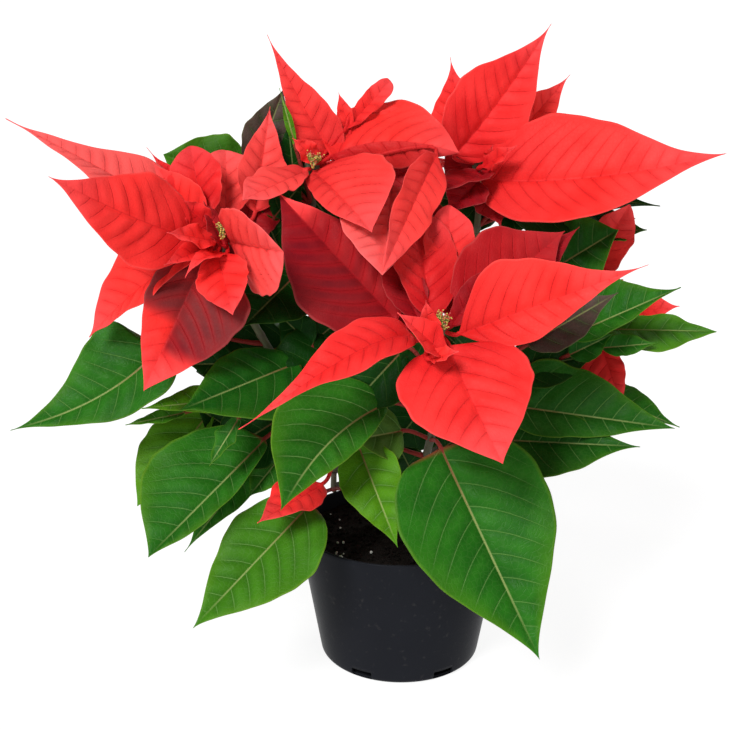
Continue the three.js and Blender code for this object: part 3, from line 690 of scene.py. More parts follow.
TOP_BRACTS = [
    blade((-46, 4, 282), (-15, -58, 261), 44, (0.15, -0.9, 0.4), ROSE,
          wave=0.5, belly=0.5, heel=0.5, point=1.3, bow=3, fold=10, lop=-0.45),
    blade((19, -6, 292), (-10, -75, 244), 25, (0.5, -0.75, 0.4), ROSE,
          belly=0.35, heel=0.5, point=1.1),
    blade((-4, -2, 275), (-10, -71, 242), 42, (0, -0.5, 0.85), CREAM,
          belly=0.48, heel=0.5, point=1.1, fold=16, wave=0.4, lop=0.2),
    blade((-37, 8, 290), (32, 0, 293), 52, (0, -0.85, 0.5), HALF_SHADED,
          belly=0.42, heel=0.4, point=1.2, swing=-8, fold=-28, lop=-0.42),
    blade((-29, 18, 304), (-4, 40, 328), 12, (0, -1, 0.3), RED, belly=0.7, point=0.5),
    blade((-27, 20, 303), (-33, 24, 323), 9, (0, -1, 0.2), RED),
    blade((-21, 22, 300), (13, 34, 314), 16, (0, -0.8, 0.6), RED),
    blade((-36, 14, 288), (-70.5, 14, 354), 27, (0.35, -0.95, 0), ROSE,
          belly=0.22, heel=0.45, point=2.1, peak=0.6, swing=-1),
    blade((-50, 0, 284), (-81, -40, 274), 24, (-0.2, -0.75, 0.6), SALMON, belly=0.6, point=1.2),
    blade((-54, 14, 279), (-110, 68, 272), 34, (-0.2, 0.4, 0.9), RED, bow=3),
    blade((-50, 18, 279), (-76, 98, 262), 38, (-0.1, 0.5, 0.8), RED, bow=6),
    blade((-44, 18, 279), (-32, 104, 272), 32, (0.1, 0.5, 0.9), RED, bow=4),
    blade((-40, 15, 279), (14, 78, 268), 30, (0.2, 0.4, 0.9), RED),
]

FRONT_BRACTS = [
    blade((6, -76, 210), (-79, -112, 176), 30, (-0.2, -0.65, 0.75), RED,
          belly=0.25, point=2.6, bow=14, peak=0.3),
    blade((23, -80, 208), (46, -126, 164), 68, (0.1, -0.8, 0.55), RED,
          belly=0.33, heel=0.42, point=1.25, wave=0.4, swing=1, fold=6),
    blade((28, -72, 212), (118, -84, 250), 44, (0.1, -0.92, 0.4), RED,
          belly=0.32, heel=1.1, point=2.3, lop=-0.25),
    blade((20, -90, 207), (-3, -94, 229), 20, (0.3, -0.6, 0.7), RED, cup=0.3, lop=-0.2),
    blade((13, -83, 211), (11, -86, 233), 12, (0.2, -1, 0.2), RED),
    blade((13, -94, 206), (26, -102, 212), 10, (0, -0.6, 0.8), RED),
    blade((15, -64, 219), (8, -22, 265), 36, (0.25, -1, 0), MID_SHADE, belly=0.6, heel=0.5, point=0.7),
    blade((9, -64, 217), (-7, -38, 247), 22, (0.3, -1, 0), DARK, belly=0.5, point=0.9),
    blade((-2, -44, 212), (-63, -30, 276), 52, (0.1, -0.95, 0.35), DULL_SHADE,
          belly=0.4, heel=0.45, point=1.3, lop=-0.3),
    blade((30, -60, 217), (86, -27, 256), 46, (-0.2, -0.9, 0.4), DUSK,
          belly=0.48, heel=0.5, point=1.6, lop=-0.2),
    blade((24, -58, 218), (26, -18, 268), 28, (0, -1, 0.1), SOFT_SHADE, belly=0.6, point=0.8),
    blade((35, -58, 217), (95, -20, 257), 30, (0, -0.9, 0.4), DARK),
    blade((25, -66, 215), (48, -62, 247), 15, (-0.4, -0.95, 0), DARK, belly=0.5),
]

RIGHT_BRACTS = [
    blade((32, 32, 288), (84, 38, 359), 48, (0.2, -1, 0.1), RED,
          belly=0.36, heel=0.42, point=2.1, lop=-0.13, swing=2),
    blade((37, 45, 292), (30, 60, 340), 34, (-0.2, -1, 0.2), RED, belly=0.25, point=2.2),
    blade((61, 46, 289), (100, 66, 330), 26, (0.2, -1, 0.2), RED, point=2.2),
    blade((48, 28, 275), (172, -10, 294), 68, (0.1, -0.8, 0.6), RED,
          belly=0.34, heel=0.4, point=1.8, swing=6, lop=-0.1),
    blade((44, 20, 275), (26, 0, 261), 26, (-0.2, -0.8, 0.4), DARK),
    blade((49, 27, 269), (57, 13, 251), 22, (0.1, -0.9, 0.3), DARK),
    blade((51, 28, 279), (20, -6, 273), 26, (-0.2, -0.3, 0.9), DARK),
    blade((50, 48, 277), (72, 122, 268), 36, (0.1, 0.5, 0.8), RED, bow=5),
    blade((54, 45, 277), (112, 100, 262), 38, (0.2, 0.4, 0.8), RED, bow=4),
    blade((42, 47, 277), (20, 106, 268), 32, (-0.1, 0.5, 0.8), RED, bow=4),
]

OUTER_BRACTS = [
    blade((109, 55, 206), (130, 26, 261), 27, (0.1, -1, 0.2), SOFT_SHADE, belly=0.6, point=0.9),
    blade((131, 54, 191), (166, 40, 199), 26, (0.1, -0.8, 0.6), RED),
    blade((115, 18, 186), (128, 6, 149), 30, (-0.2, -0.95, 0.2), MID_SHADE,
          belly=0.45, heel=0.8, point=1.2, lop=0.4),
    blade((123, 68, 197), (132, 122, 204), 32, (0.1, 0.5, 0.8), RED),
    blade((114, 66, 197), (88, 118, 203), 30, (-0.2, 0.5, 0.8), RED),
    blade((112, 60, 198), (84, 60, 212), 22, (0, 0, 1), RED),
]

BACK_BRACTS = [
    blade((-4, 82, 238), (54, 62, 258), 26, (0, -0.4, 0.9), DARK),
    blade((-22, 86, 236), (-84, 98, 228), 32, (-0.2, 0.1, 1), RED),
    blade((-20, 92, 236), (-62, 150, 226), 36, (-0.3, 0.4, 0.85), RED, bow=5),
    blade((-14, 94, 236), (-12, 172, 220), 40, (0, 0.5, 0.85), RED, bow=7),
    blade((-8, 92, 236), (50, 142, 228), 36, (0.3, 0.4, 0.85), RED, bow=5),
    blade((-20, 88, 240), (-50, 116, 262), 24, (0.2, -0.1, 1), RED),
    blade((-9, 90, 240), (24, 126, 262), 24, (-0.2, -0.2, 1), RED),
    blade((-15, 91, 240), (-18, 112, 276), 20, (0, -0.6, 0.7), RED),
    blade((-12, 80, 240), (6, 52, 258), 20, (0, 0, 1), RED),
]

LOW_BRACTS = [
    blade((-42, -40, 119), (-74, -80, 114), 28, (-0.2, -0.6, 0.75), RED),
]

print(len(LEFT_BRACTS), len(TOP_BRACTS), len(FRONT_BRACTS), "bracts on the three front heads")

# %% [markdown]
# The leaves, one list for each cutting. The fresh ones at the outside are mid green or lime, the
# lime partly their paler green and partly painted light; the dark ones, whose darkness is painted
# shade, fill the shade within. Where a leaf hangs from a certain place on its stem, `root` says
# near which point; the others start near their own base.

# %% The rows of leaves
# Dark amounts here are painted shade. The palest tone (0.8) is painted light on leaves in the shade
# of others; the tone with 0.3 dark on its right half paints a whitish sheen with its pale amount
# and shade on that half.
GREEN = (0.05, 0.05, 0.05, 0)
DEEP = (0.95, 0.95, 0, 0)
SHADE = (0.4, 0.4, 0, 0)
PAINTED_SHEEN = (0, 0.3, 0.4, 0)
LIME = (0, 0, 0.4, 0)
BRIGHTENED = (0, 0, 0.8, 0)
OLIVE = (0.1, 0.1, 0.5, 0.3)
GRAPE = (0.6, 0.6, 0.1, 1)

LEFT_LEAVES = [
    blade((-129, -24, 192), (-209, -40, 150), 56, (-0.25, -0.85, 0.5), GREEN,
          belly=0.15, heel=0.35, point=1.9, swing=-8, lop=0.15, root=(-75, -10, 196)),
    blade((-87, -20, 162), (-136, -50, 166), 20, (-0.1, -0.6, 0.8), BRIGHTENED),
    blade((-54, -32, 186), (-112, -78, 174), 50, (-0.1, -0.7, 0.6), SHADE,
          belly=0.45, point=1.7, lop=-0.25),
    blade((-60, -12, 190), (-110, -24, 178), 44, (0, -0.9, 0.4), DEEP, point=1),
    blade((-73, -35, 143), (-130, -85, 97), 50, (-0.3, -0.75, 0.6), GREEN,
          belly=0.55, heel=0.45, point=1.3, lop=0.5),
    blade((-103, -5, 153), (-145, -30, 102), 38, (-0.3, -0.7, 0.5), BRIGHTENED,
          belly=0.5, heel=0.9, point=1.2, lop=0.15),
    blade((-73, -8, 130), (-120, -30, 74), 31, (-0.2, -0.8, 0.4), GREEN, point=2.2, lop=0.3),
    blade((-62, -30, 135), (-82, -45, 113), 24, (-0.2, -0.8, 0.4), GREEN),
    blade((-48, -45, 110), (-108, -90, 59), 55, (-0.1, -0.7, 0.7), LIME,
          belly=0.36, heel=0.45, point=1.5, lop=-0.14, root=(-24, 0, 100)),
    blade((-58, -6, 226), (-82, -42, 208), 46, (0, -0.8, 0.6), DEEP, belly=0.5),
    blade((-83, 9, 272), (-128, 10, 291), 46, (0, -1, 0.4), PAINTED_SHEEN, point=1.2, root=(-49, 8, 250)),
    blade((-79, 10, 282), (-62, 16, 326), 27, (0.2, -1, 0.2), GRAPE, point=1.6),
    blade((-57, 8, 277), (-60, 9, 309), 15, (0, -1, 0.2), DEEP),
    blade((-47, -25, 193), (-66, -22, 211), 22, (0, -1, 0.3), DEEP),
    blade((-27, -22, 189), (-78, -50, 172), 46, (0, -0.7, 0.6), DEEP),
    blade((-30, 18, 244), (-58, 10, 280), 44, (0, -0.9, 0.4), DEEP),
    blade((-66, -22, 150), (-100, -34, 132), 42, (0, -0.9, 0.4), DEEP, point=1.2),
    blade((-70, 50, 180), (-112, 110, 165), 42, (-0.2, 0.4, 0.9), GREEN, bow=5),
    blade((-32, 62, 118), (-52, 112, 88), 44, (-0.1, 0.6, 0.8), GREEN, bow=6),
    blade((-60, 35, 140), (-97, 82, 118), 42, (-0.2, 0.5, 0.8), GREEN, bow=6),
]

FRONT_LEAVES = [
    blade((-7, -55, 170), (-59, -118, 137), 48, (0, -0.75, 0.6), GREEN,
          belly=0.42, point=1.5, swing=7, lop=0.4),
    blade((-22, -50, 145), (-2, -95, 107), 34, (-0.1, -0.9, 0.4), BRIGHTENED, belly=0.3, point=1.5),
    blade((1, -46, 152), (-26, -58, 151), 34, (0, -0.8, 0.6), OLIVE),
    blade((21, -62, 148), (69, -115, 55), 83, (0.1, -0.85, 0.5), GREEN,
          belly=0.32, heel=0.32, point=1.48, lop=-0.01, root=(3, -40, 155)),
    blade((1, -48, 197), (-30, -52, 163), 38, (0, -0.8, 0.5), DEEP),
    blade((9, -33, 120), (-2, -36, 143), 22, (0, -1, 0.3), DEEP),
    blade((56, -28, 172), (26, -50, 207), 32, (0, -0.9, 0.4), DEEP),
    blade((68, -30, 195), (113, -40, 226), 30, (0.1, -0.7, 0.7), GRAPE),
]

BACK_LEAVES = [
    blade((68, 50, 266), (151, 40, 258), 34, (0.1, -0.7, 0.7), DEEP, belly=0.35, point=2),
    blade((92, 34, 224), (122, 14, 249), 40, (0.1, -0.8, 0.6), SHADE, belly=0.5, point=1.4),
    blade((96, 10, 189), (153, -10, 222), 40, (0, -0.6, 0.8), GREEN, belly=0.3, point=2, lop=-0.35),
    blade((120, 38, 186), (182, 16, 190), 32, (0.1, -0.6, 0.8), LIME,
          belly=0.48, point=1.4, lop=0.35),
    blade((117, 44, 146), (170, 34, 126), 26, (0.1, -0.6, 0.8), GREEN, point=2),
    blade((60, -8, 154), (151, -28, 147), 46, (0.1, -0.8, 0.6), SHADE,
          belly=0.25, heel=0.45, point=1.5, lop=-0.25),
    blade((52, -12, 135), (131, -35, 139), 46, (0.1, -0.7, 0.7), SHADE, belly=0.35, lop=0.15),
    blade((60, -2, 171), (115, 6, 180), 34, (0, -0.7, 0.7), DEEP),
    blade((1, 34, 242), (-2, 27, 292), 32, (0, -0.9, 0.4), DEEP),
    blade((62, 42, 258), (138, 44, 250), 40, (0, -0.8, 0.6), DEEP, belly=0.3),
    blade((60, 52, 252), (18, 44, 264), 32, (0, -0.9, 0.4), DEEP),
    blade((22, 0, 160), (-6, 4, 120), 40, (0, -0.9, 0.3), DEEP, point=1.2),
    blade((-30, 95, 160), (-62, 150, 148), 40, (-0.1, 0.4, 0.9), GREEN, bow=5),
    blade((0, 100, 158), (10, 168, 138), 44, (0, 0.4, 0.9), GREEN, bow=6),
    blade((45, 85, 165), (82, 150, 150), 42, (0.1, 0.4, 0.9), GREEN, bow=5),
    blade((90, 70, 160), (122, 126, 150), 38, (0.1, 0.4, 0.9), GREEN, bow=5),
    blade((-30, 85, 200), (-42, 142, 190), 38, (-0.1, 0.3, 0.9), GREEN, bow=4),
    blade((35, 90, 205), (46, 152, 195), 38, (0, 0.3, 0.9), GREEN, bow=4),
    blade((25, 62, 118), (42, 122, 84), 46, (0.1, 0.6, 0.8), GREEN, bow=6),
    blade((60, 50, 130), (97, 90, 104), 42, (0.2, 0.5, 0.8), GREEN, bow=6),
]
print(len(LEFT_LEAVES), "+", len(FRONT_LEAVES), "+", len(BACK_LEAVES), "leaves")

# %% [markdown]
# A plant has many more blades than anyone counts: half-grown bracts round the cups, and leaves of
# which only a dark patch shows between the others. These small ones are this script's own, with
# no solid behind them, and most of them are given a dark tone that is painted shade. Without them
# one would see through the plant where it is dense.

# %% The smallest blades
SMALL_BRACTS = {
    "left": [
        blade((-95, -40, 253), (-116, -64, 262), 14, (0, -0.8, 0.6), RED),
        blade((-97, -40, 251), (-118, -66, 246), 13, (-0.1, -0.8, 0.6), SOFT_SHADE),
        blade((-97, -36, 258), (-114, -44, 276), 14, (-0.1, -0.9, 0.5), SOFT_SHADE),
        blade((-90, -40, 246), (-108, -66, 239), 11, (-0.1, -0.5, 0.8), RED, bow=6, peak=0.6),
        blade((-91, -38, 250), (-101, -36, 273), 13, (0.6, -0.7, 0.2), DARK),
        blade((-86, -18, 240), (-106, -20, 252), 22, (0, -1, 0.3), DARK),
    ],
    "top": [
        blade((-40, 16, 290), (-23, 30, 303), 18, (0, -0.9, 0.4), DARK),
        blade((-44, 6, 288), (-57, -2, 301), 12, (0, -0.9, 0.4), RED),
        blade((-10, 15, 275), (13, 15, 285), 18, (0, -1, 0.2), DARK),
    ],
    "front": [
        blade((14, -40, 203), (-12, -36, 217), 20, (0, -1, 0.3), DARK),
    ],
    "right": [
        blade((46, 20, 283), (64, 10, 296), 10, (-0.3, -0.7, 0.6), SOFT_SHADE),
        blade((44, 44, 272), (26, 48, 291), 24, (0, -1, 0.2), DARK),
        blade((50, 30, 283), (52, 26, 294), 7, (-0.6, -0.8, 0), SOFT_SHADE),
    ],
}
SMALL_LEAVES = {
    "left": [
        blade((-116, -30, 157), (-146, -45, 155), 8, (0, -0.7, 0.7), LIME),
        blade((-84, -60, 164), (-99, -70, 141), 12, (-0.5, -0.8, 0.3), GREEN),
        blade((-56, 4, 297), (-64, 4, 327), 5, (0, -1, 0.2), BRIGHTENED, point=3),
        blade((-67, -8, 260), (-51, -8, 279), 18, (0, -1, 0.2), DEEP),
        blade((-64, -6, 240), (-74, -8, 264), 20, (0, -1, 0.2), DEEP),
        blade((-54, 0, 224), (-67, 0, 264), 26, (0, -1, 0.2), DEEP),
        blade((-46, -20, 194), (-27, -22, 211), 20, (0, -1, 0.2), DEEP),
        blade((-88, -28, 184), (-114, -30, 184), 22, (0, -0.9, 0.4), DEEP),
        blade((-90, -10, 138), (-113, -12, 154), 20, (0, -1, 0.3), DEEP),
    ],
    "front": [
        blade((15, -46, 188), (-3, -48, 209), 20, (0, -1, 0.3), DEEP),
        blade((22, -28, 134), (45, -30, 151), 20, (0, -1, 0.3), DEEP),
        blade((40, -38, 188), (12, -38, 213), 26, (0, -1, 0.3), DEEP),
    ],
    "back": [
        blade((118, 44, 242), (143, 36, 245), 18, (0.1, -0.7, 0.7), SHADE),
        blade((58, 46, 252), (80, 46, 246), 20, (0, -1, 0.2), DEEP),
        blade((96, 2, 180), (120, 0, 193), 18, (0, -0.9, 0.5), SHADE),
        blade((116, 10, 182), (146, 6, 186), 14, (0, -0.8, 0.6), GREEN),
    ],
}
small = [*SMALL_BRACTS.values(), *SMALL_LEAVES.values()]
print(sum(len(rows) for rows in small), "small blades")

# %% [markdown]
# Each branch ends in a small round knob, from which a head's bracts and cups spring. The list
# says where each knob is, where its cups face, how many there are, and which bracts are its own.
# The low head has a single bract and no cups: it is a side shoot that has only just coloured.

# %% Heads
HEADS = {
    "left": dict(at=(-91, -30, 254), facing=(0, -0.9, 0.45), cups=4, bracts=LEFT_BRACTS),
    "top": dict(at=(-47, 10, 283), facing=(0.1, -0.8, 0.6), cups=4, bracts=TOP_BRACTS),
    "front": dict(at=(17, -70, 214), facing=(0.2, -0.75, 0.65), cups=5, bracts=FRONT_BRACTS),
    "right": dict(at=(47, 40, 281), facing=(0.25, 0.5, 0.85), cups=3, bracts=RIGHT_BRACTS),
    "outer": dict(at=(120, 60, 200), facing=(-0.3, 0.35, 0.9), cups=3, bracts=OUTER_BRACTS),
    "back": dict(at=(-15, 85, 238), facing=(0, 0, 1), cups=3, bracts=BACK_BRACTS),
    "low": dict(at=(-36, -16, 122), facing=(-0.5, -0.3, 0.8), cups=0, bracts=LOW_BRACTS),
}
TIP_RADIUS = 5  # of the knob
SEAM = 0.3  # the gap between a knob and what it touches
print("cups:", sum(head["cups"] for head in HEADS.values()))

# %% [markdown]
# The stems are smooth curves through a few points. The last centimetre below a knob is straight.
# A petiole starts at the nearest of the places that lie about 15 mm apart along the stems, as the
# nodes of a real stem do.

# %% Stem lines
LAST_STRAIGHT = 10
NODE_GAP = 15
LOWEST_NODE = 84  # no petiole starts nearer the soil
PLANT_X = -2  # the plant stands this far beside the middle of its pot

# Points of each stem, its radius at both ends, and the head it runs up to.
STEMS = {
    "left": [
        ([(-7, 5, 40), (-7, 5, 74), (-9, 4, 82), (-18, 2, 94), (-33, -5, 115)], 3.2, 2.8, None),
        ([(-33, -5, 115), (-60, -18, 170), (-86, -28, 222)], 2.6, 1.8, "left"),
        ([(-33, -5, 115), (-46, 2, 180), (-49, 8, 240)], 2.6, 1.8, "top"),
        ([(-24, -1, 102), (-34, -11, 107)], 2, 1.6, "low"),
    ],
    "front": [
        ([(12, -10, 40), (12, -10, 72), (12, -11, 81), (13, -28, 120), (19, -52, 165)],
         2.8, 1.8, "front"),
    ],
    "back": [
        ([(6, 14, 40), (6, 14, 72), (7, 15, 80), (16, 20, 98), (30, 26, 130)], 3, 2.6, None),
        ([(30, 26, 130), (42, 34, 200)], 2.4, 1.8, "right"),
        ([(30, 26, 130), (66, 42, 158)], 2.2, 1.7, "outer"),
        ([(16, 20, 98), (4, 50, 150), (-12, 76, 200)], 2.4, 1.8, "back"),
    ],
}
LEAVES = {"left": LEFT_LEAVES, "front": FRONT_LEAVES, "back": BACK_LEAVES}


def stem_line(points, head, step):
    """Places at equal steps on a smooth curve through the points (a Catmull-Rom spline)."""
    through = [np.array(p, float) for p in points]
    if head:
        top = np.array(HEADS[head]["at"], float)
        for lower in (LAST_STRAIGHT, 0):
            through.append(top - (0, 0, TIP_RADIUS + SEAM + lower))
    through = [2 * through[0] - through[1], *through, 2 * through[-1] - through[-2]]
    t = np.linspace(0, 1, 40, endpoint=False)[:, None]
    parts = []
    for a, b, c, d in zip(through, through[1:], through[2:], through[3:]):
        parts.append(
            b + 0.5 * (c - a) * t + (a - 2.5 * b + 2 * c - 0.5 * d) * t**2
            + (1.5 * b - 1.5 * c + 0.5 * d - 0.5 * a) * t**3
        )
    curve = np.vstack([*parts, through[-2]])
    far = np.concatenate([[0], np.cumsum(np.linalg.norm(np.diff(curve, axis=0), axis=1))])
    even = np.linspace(0, far[-1], math.ceil(far[-1] / step) + 1)
    return np.stack([np.interp(even, far, curve[:, k]) for k in range(3)], -1)


def nodes_of(cutting):
    """Where a petiole can start."""
    lines = [stem_line(points, head, NODE_GAP)[:-1] for points, _, _, head in STEMS[cutting]]
    places = np.concatenate(lines)
    return places[places[:, 2] > LOWEST_NODE]


print("places for petioles:", {name: len(nodes_of(name)) for name in STEMS})

# %% [markdown]
# A bract's colour sits in the skin of a leaf-like blade. Its side veins lie in grooves on the upper
# side and show as thin darker lines, and the bands along the grooves are darkened as painted
# shade. Painted shade also darkens the foot of each bract near the head, painted light pales its
# tip, and the thin margin is paler. The under side is duller and pinker.
# Here all of it is a few mixes, each with a mask made from the blade's own maps: `veins` counts
# the side veins, and `place` says how far out and how far along a point is.

# %% The material of bracts
def vein_masks(paint, width, network):
    """Side veins, the pleats along them (the mask for the painted shade in the grooves), midrib,
    margin and a fine network: 1 on the line, 0 off it; and how far out and how far along a point
    is. The same q as in `vein_number`."""
    along, aside = paint.map("veins")
    out, far = paint.map("place")
    away = abs(aside)
    left = aside.math("LESS_THAN", aside, 0.0)
    q = along - VEIN_SLANT * away - VEIN_BEND * (away * away) + left * 0.5
    near = abs(q.fraction() - 0.5) * 2
    strength = abs(out).smooth(1.02, 0.5) * far.smooth(0.99, 0.75)
    veins = near.smooth(1 - width, 1.0) * strength
    pleats = near.smooth(0.2, 1.0) * strength
    rib = away.smooth(0.065, 0.015) * far.smooth(1.0, 0.6)
    margin = abs(out).smooth(0.94, 1.0) * far.smooth(0.0, 0.05)
    uv = paint.node("ShaderNodeUVMap", uv_map="veins")
    values = {"Vector": uv, "Scale": network}
    cells = paint.node("ShaderNodeTexVoronoi", values, feature="DISTANCE_TO_EDGE")
    return veins, pleats, rib, margin, cells.smooth(0.12, 0.0), out, far


def blade_numbers(paint):
    """The numbers that a blade left on its mesh."""
    return [paint.number(name) for name in ("dark", "pale", "tint", "under", "chance")]


def bract_paint():
    paint = Paint("bract")
    veins, pleats, rib, margin, network, _, far = vein_masks(paint, 0.12, 4.0)
    dark, pale, tint, under, chance = blade_numbers(paint)
    cloud = paint.noise(paint.place(), 55.0, 3.0)
    fine = paint.noise(paint.place(), 900.0, 2.0)
    bright, full = colour(0.9, 0.032, 0.03), colour(0.76, 0.014, 0.014)
    shade = paint.mix(cloud.smooth(0.35, 0.7), bright, full)
    shade = paint.mix(chance * 0.4, shade, colour(0.86, 0.036, 0.022))
    # The pale tone: partly the bract's own paler pink, partly painted light.
    shade = paint.mix(pale * (0.75 + 0.25 * cloud), shade, colour(0.9, 0.24, 0.22))
    # Painted shade from the row's dark tone, dull brown in its darkest part.
    shade = paint.mix(dark * (0.75 + 0.4 * cloud), shade, colour(0.15, 0.002, 0.008))
    shade = paint.mix(tint * dark * far.smooth(0.9, 0.1), shade, colour(0.1, 0.028, 0.026))
    shade = paint.mix(under * 0.35, shade, colour(0.7, 0.06, 0.07))
    # Painted light on the tip, then painted shade at the foot near the head.
    shade = paint.mix(far.smooth(0.5, 1.0) * 0.3 * (1 - dark), shade, colour(0.9, 0.15, 0.16))
    shade = paint.mix(far.smooth(0.5, -0.1) * 0.5, shade, colour(0.4, 0.003, 0.008))
    # Painted shade in the grooves along the side veins.
    crease_shade = pleats * (1 - under) * (0.05 + 0.35 * cloud)
    shade = paint.mix(crease_shade, shade, colour(0.5, 0.004, 0.008))
    lines = veins * 0.06 + rib * 0.25 + network * 0.04
    shade = paint.mix(lines * (1 - under), shade, colour(0.36, 0.003, 0.008))
    shade = paint.mix(veins * under * 0.4 + margin * 0.1, shade, colour(0.9, 0.25, 0.22))
    normal = paint.bump(fine * 0.25 - veins * 0.7 - network * 0.12, 0.0005, 0.8)
    gloss = 0.44 + 0.12 * fine
    return paint.finish(Base_Color=shade, Roughness=gloss, Normal=normal, Specular_IOR_Level=0.06)


bract = bract_paint()
print("bract:", len(bract.node_tree.nodes), "nodes")

# %% [markdown]
# Each head becomes one piece. A bract's short stalk starts inside the knob, half its radius out
# from the middle, so the foot of the stalk is never seen. Every blade gets one random number from
# a seeded generator, which is the same at each run, for its lobes, ruffle and shade.

# %% The seven heads
MAPS = ("veins", "place")


def chances(seed, count):
    """The same random numbers between 0 and 1 at each run."""
    return np.random.default_rng(seed).random(count)


def bract_root(at, base):
    """Half the knob's radius out from its middle, towards the bract's base."""
    at = np.array(at, float)
    return at + unit(np.array(base, float) - at) * TIP_RADIUS / 2


for seed, (name, head) in enumerate(HEADS.items()):
    shell = Shell(PLANT_X)
    rows = head["bracts"] + SMALL_BRACTS.get(name, [])
    for row, chance in zip(rows, chances(seed, len(rows))):
        blade_surface(shell, row, bract_root(head["at"], row["base"]), BRACT, chance)
    piece(shell, "red_bracts_" + name, bract, ["bracts_" + name], MAPS)

# %% [markdown]
# A leaf is the same blade in green. It is firmer and glossier than a bract, its veins are pale
# instead of dark, and the petiole and the foot of the midrib are flushed with red. The dark
# leaves are not a different green: their darkness is painted shade, for leaves that stand in the
# shade of the others. The grooves along the side veins are darkened as painted shade as well.

# %% The material of leaves
def leaf_paint():
    paint = Paint("leaf")
    veins, pleats, rib, margin, network, out, far = vein_masks(paint, 0.1, 4.5)
    dark, pale, tint, under, chance = blade_numbers(paint)
    cloud = paint.noise(paint.place(), 60.0, 3.0)
    fine = paint.noise(paint.place(), 1100.0, 2.0)
    deep, fresh = colour(0.007, 0.085, 0.005), colour(0.017, 0.135, 0.008)
    shade = paint.mix(cloud.smooth(0.3, 0.7), deep, fresh)
    shade = paint.mix(chance * 0.4, shade, colour(0.026, 0.125, 0.01))
    # The pale tone: partly the paler green of young leaves, partly painted light.
    shade = paint.mix(pale * (0.7 + 0.3 * cloud), shade, colour(0.09, 0.25, 0.006))
    # Painted shade from the row's dark tone.
    shade = paint.mix(dark * (0.75 + 0.3 * cloud), shade, colour(0.002, 0.022, 0.002))
    rim = abs(out).smooth(0.45, 1.0) * far.smooth(0.2, 0.9)
    shade = paint.mix(rim * 0.4 * (1 - dark), shade, colour(0.09, 0.22, 0.006))
    shade = paint.mix(tint * 0.8, shade, colour(0.09, 0.045, 0.05))
    # Painted shade in the grooves along the side veins.
    shade = paint.mix(pleats * 0.3, shade, colour(0.004, 0.05, 0.003))
    shade = paint.mix(under * 0.5, shade, colour(0.06, 0.16, 0.04))
    light = (1 - dark * 0.7) * (0.6 + 0.4 * chance)
    shade = paint.mix((veins * 0.5 + network * 0.06) * light, shade, colour(0.2, 0.38, 0.1))
    shade = paint.mix(rib * 0.7 * (1 - dark * 0.5), shade, colour(0.3, 0.36, 0.12))
    shade = paint.mix(margin * 0.25 * light, shade, colour(0.3, 0.42, 0.03))
    flush = far.smooth(0.45, -0.05) * (rib + far.smooth(0.03, 0.0))
    shade = paint.mix(flush * 0.85, shade, colour(0.2, 0.025, 0.02))
    normal = paint.bump(fine * 0.25 - veins * 0.7 - network * 0.2, 0.0005, 0.8)
    gloss = 0.36 + 0.12 * fine
    return paint.finish(Base_Color=shade, Roughness=gloss, Normal=normal, Specular_IOR_Level=0.07)


leaf = leaf_paint()
print("leaf:", len(leaf.node_tree.nodes), "nodes")

# %% [markdown]
# The leaves of each cutting become one piece, as they are one solid in the CAD. A petiole starts
# at the place on the stem that is nearest to where its row wants it, 12 mm under the blade's base
# if the row doesn't say, because petioles rise from their stem.

# %% The leaves of the cuttings
RISE = 12

for seed, (name, rows) in enumerate(LEAVES.items()):
    shell = Shell(PLANT_X)
    places = nodes_of(name)
    rows = rows + SMALL_LEAVES[name]
    for row, chance in zip(rows, chances(20 + seed, len(rows))):
        wanted = np.array(row["root"] or np.subtract(row["base"], (0, 0, RISE)), float)
        root = places[np.argmin(np.linalg.norm(places - wanted, axis=1))]
        blade_surface(shell, row, root, LEAF, chance)
    piece(shell, "green_leaves_" + name, leaf, ["leafy_stem_" + name], MAPS)

# %% [markdown]
# The stems are round tubes along the same curves as the CAD's. They swell at their nodes, where a
# fallen leaf leaves a scar, and turn from bark brown at the foot to fresh green at the top.

# %% Stems
STEM_STEP = 1.5


def tube(shell, line, radius, sides=14, **numbers):
    """Rings square to a line: middle + radius times (cos, sin) of the turn in the ring's plane."""
    way = unit(np.gradient(line, axis=0))
    across = square(np.broadcast_to(np.array([1.0, 0, 0]), way.shape), way)
    ahead = np.cross(way, across)
    turn = -2 * np.pi * np.arange(sides) / sides
    ring = across[:, None] * np.cos(turn)[:, None] + ahead[:, None] * np.sin(turn)[:, None]
    rings = line[:, None] + ring * np.broadcast_to(radius, (len(line), sides))[..., None]
    shell.add(rings, line[0] - way[0] * 0.3, line[-1] + way[-1] * 0.3, **numbers)


def stem_paint():
    paint = Paint("stem")
    place = paint.place()
    height = paint.node("ShaderNodeSeparateXYZ", {0: place}, out="Z")
    cloud = paint.noise(place, 120.0, 4.0)
    wood = paint.mix(cloud, colour(0.03, 0.026, 0.016), colour(0.08, 0.065, 0.035))
    fresh = paint.mix(cloud, colour(0.04, 0.06, 0.02), colour(0.09, 0.09, 0.035))
    shade = paint.mix(height.smooth(0.1, 0.2), wood, fresh)
    shade = paint.mix(paint.number("scar") * 0.7, shade, colour(0.05, 0.03, 0.02))
    normal = paint.bump(paint.noise(place, 700.0, 3.0), 0.0006, 0.7)
    return paint.finish(Base_Color=shade, Roughness=0.6, Normal=normal)


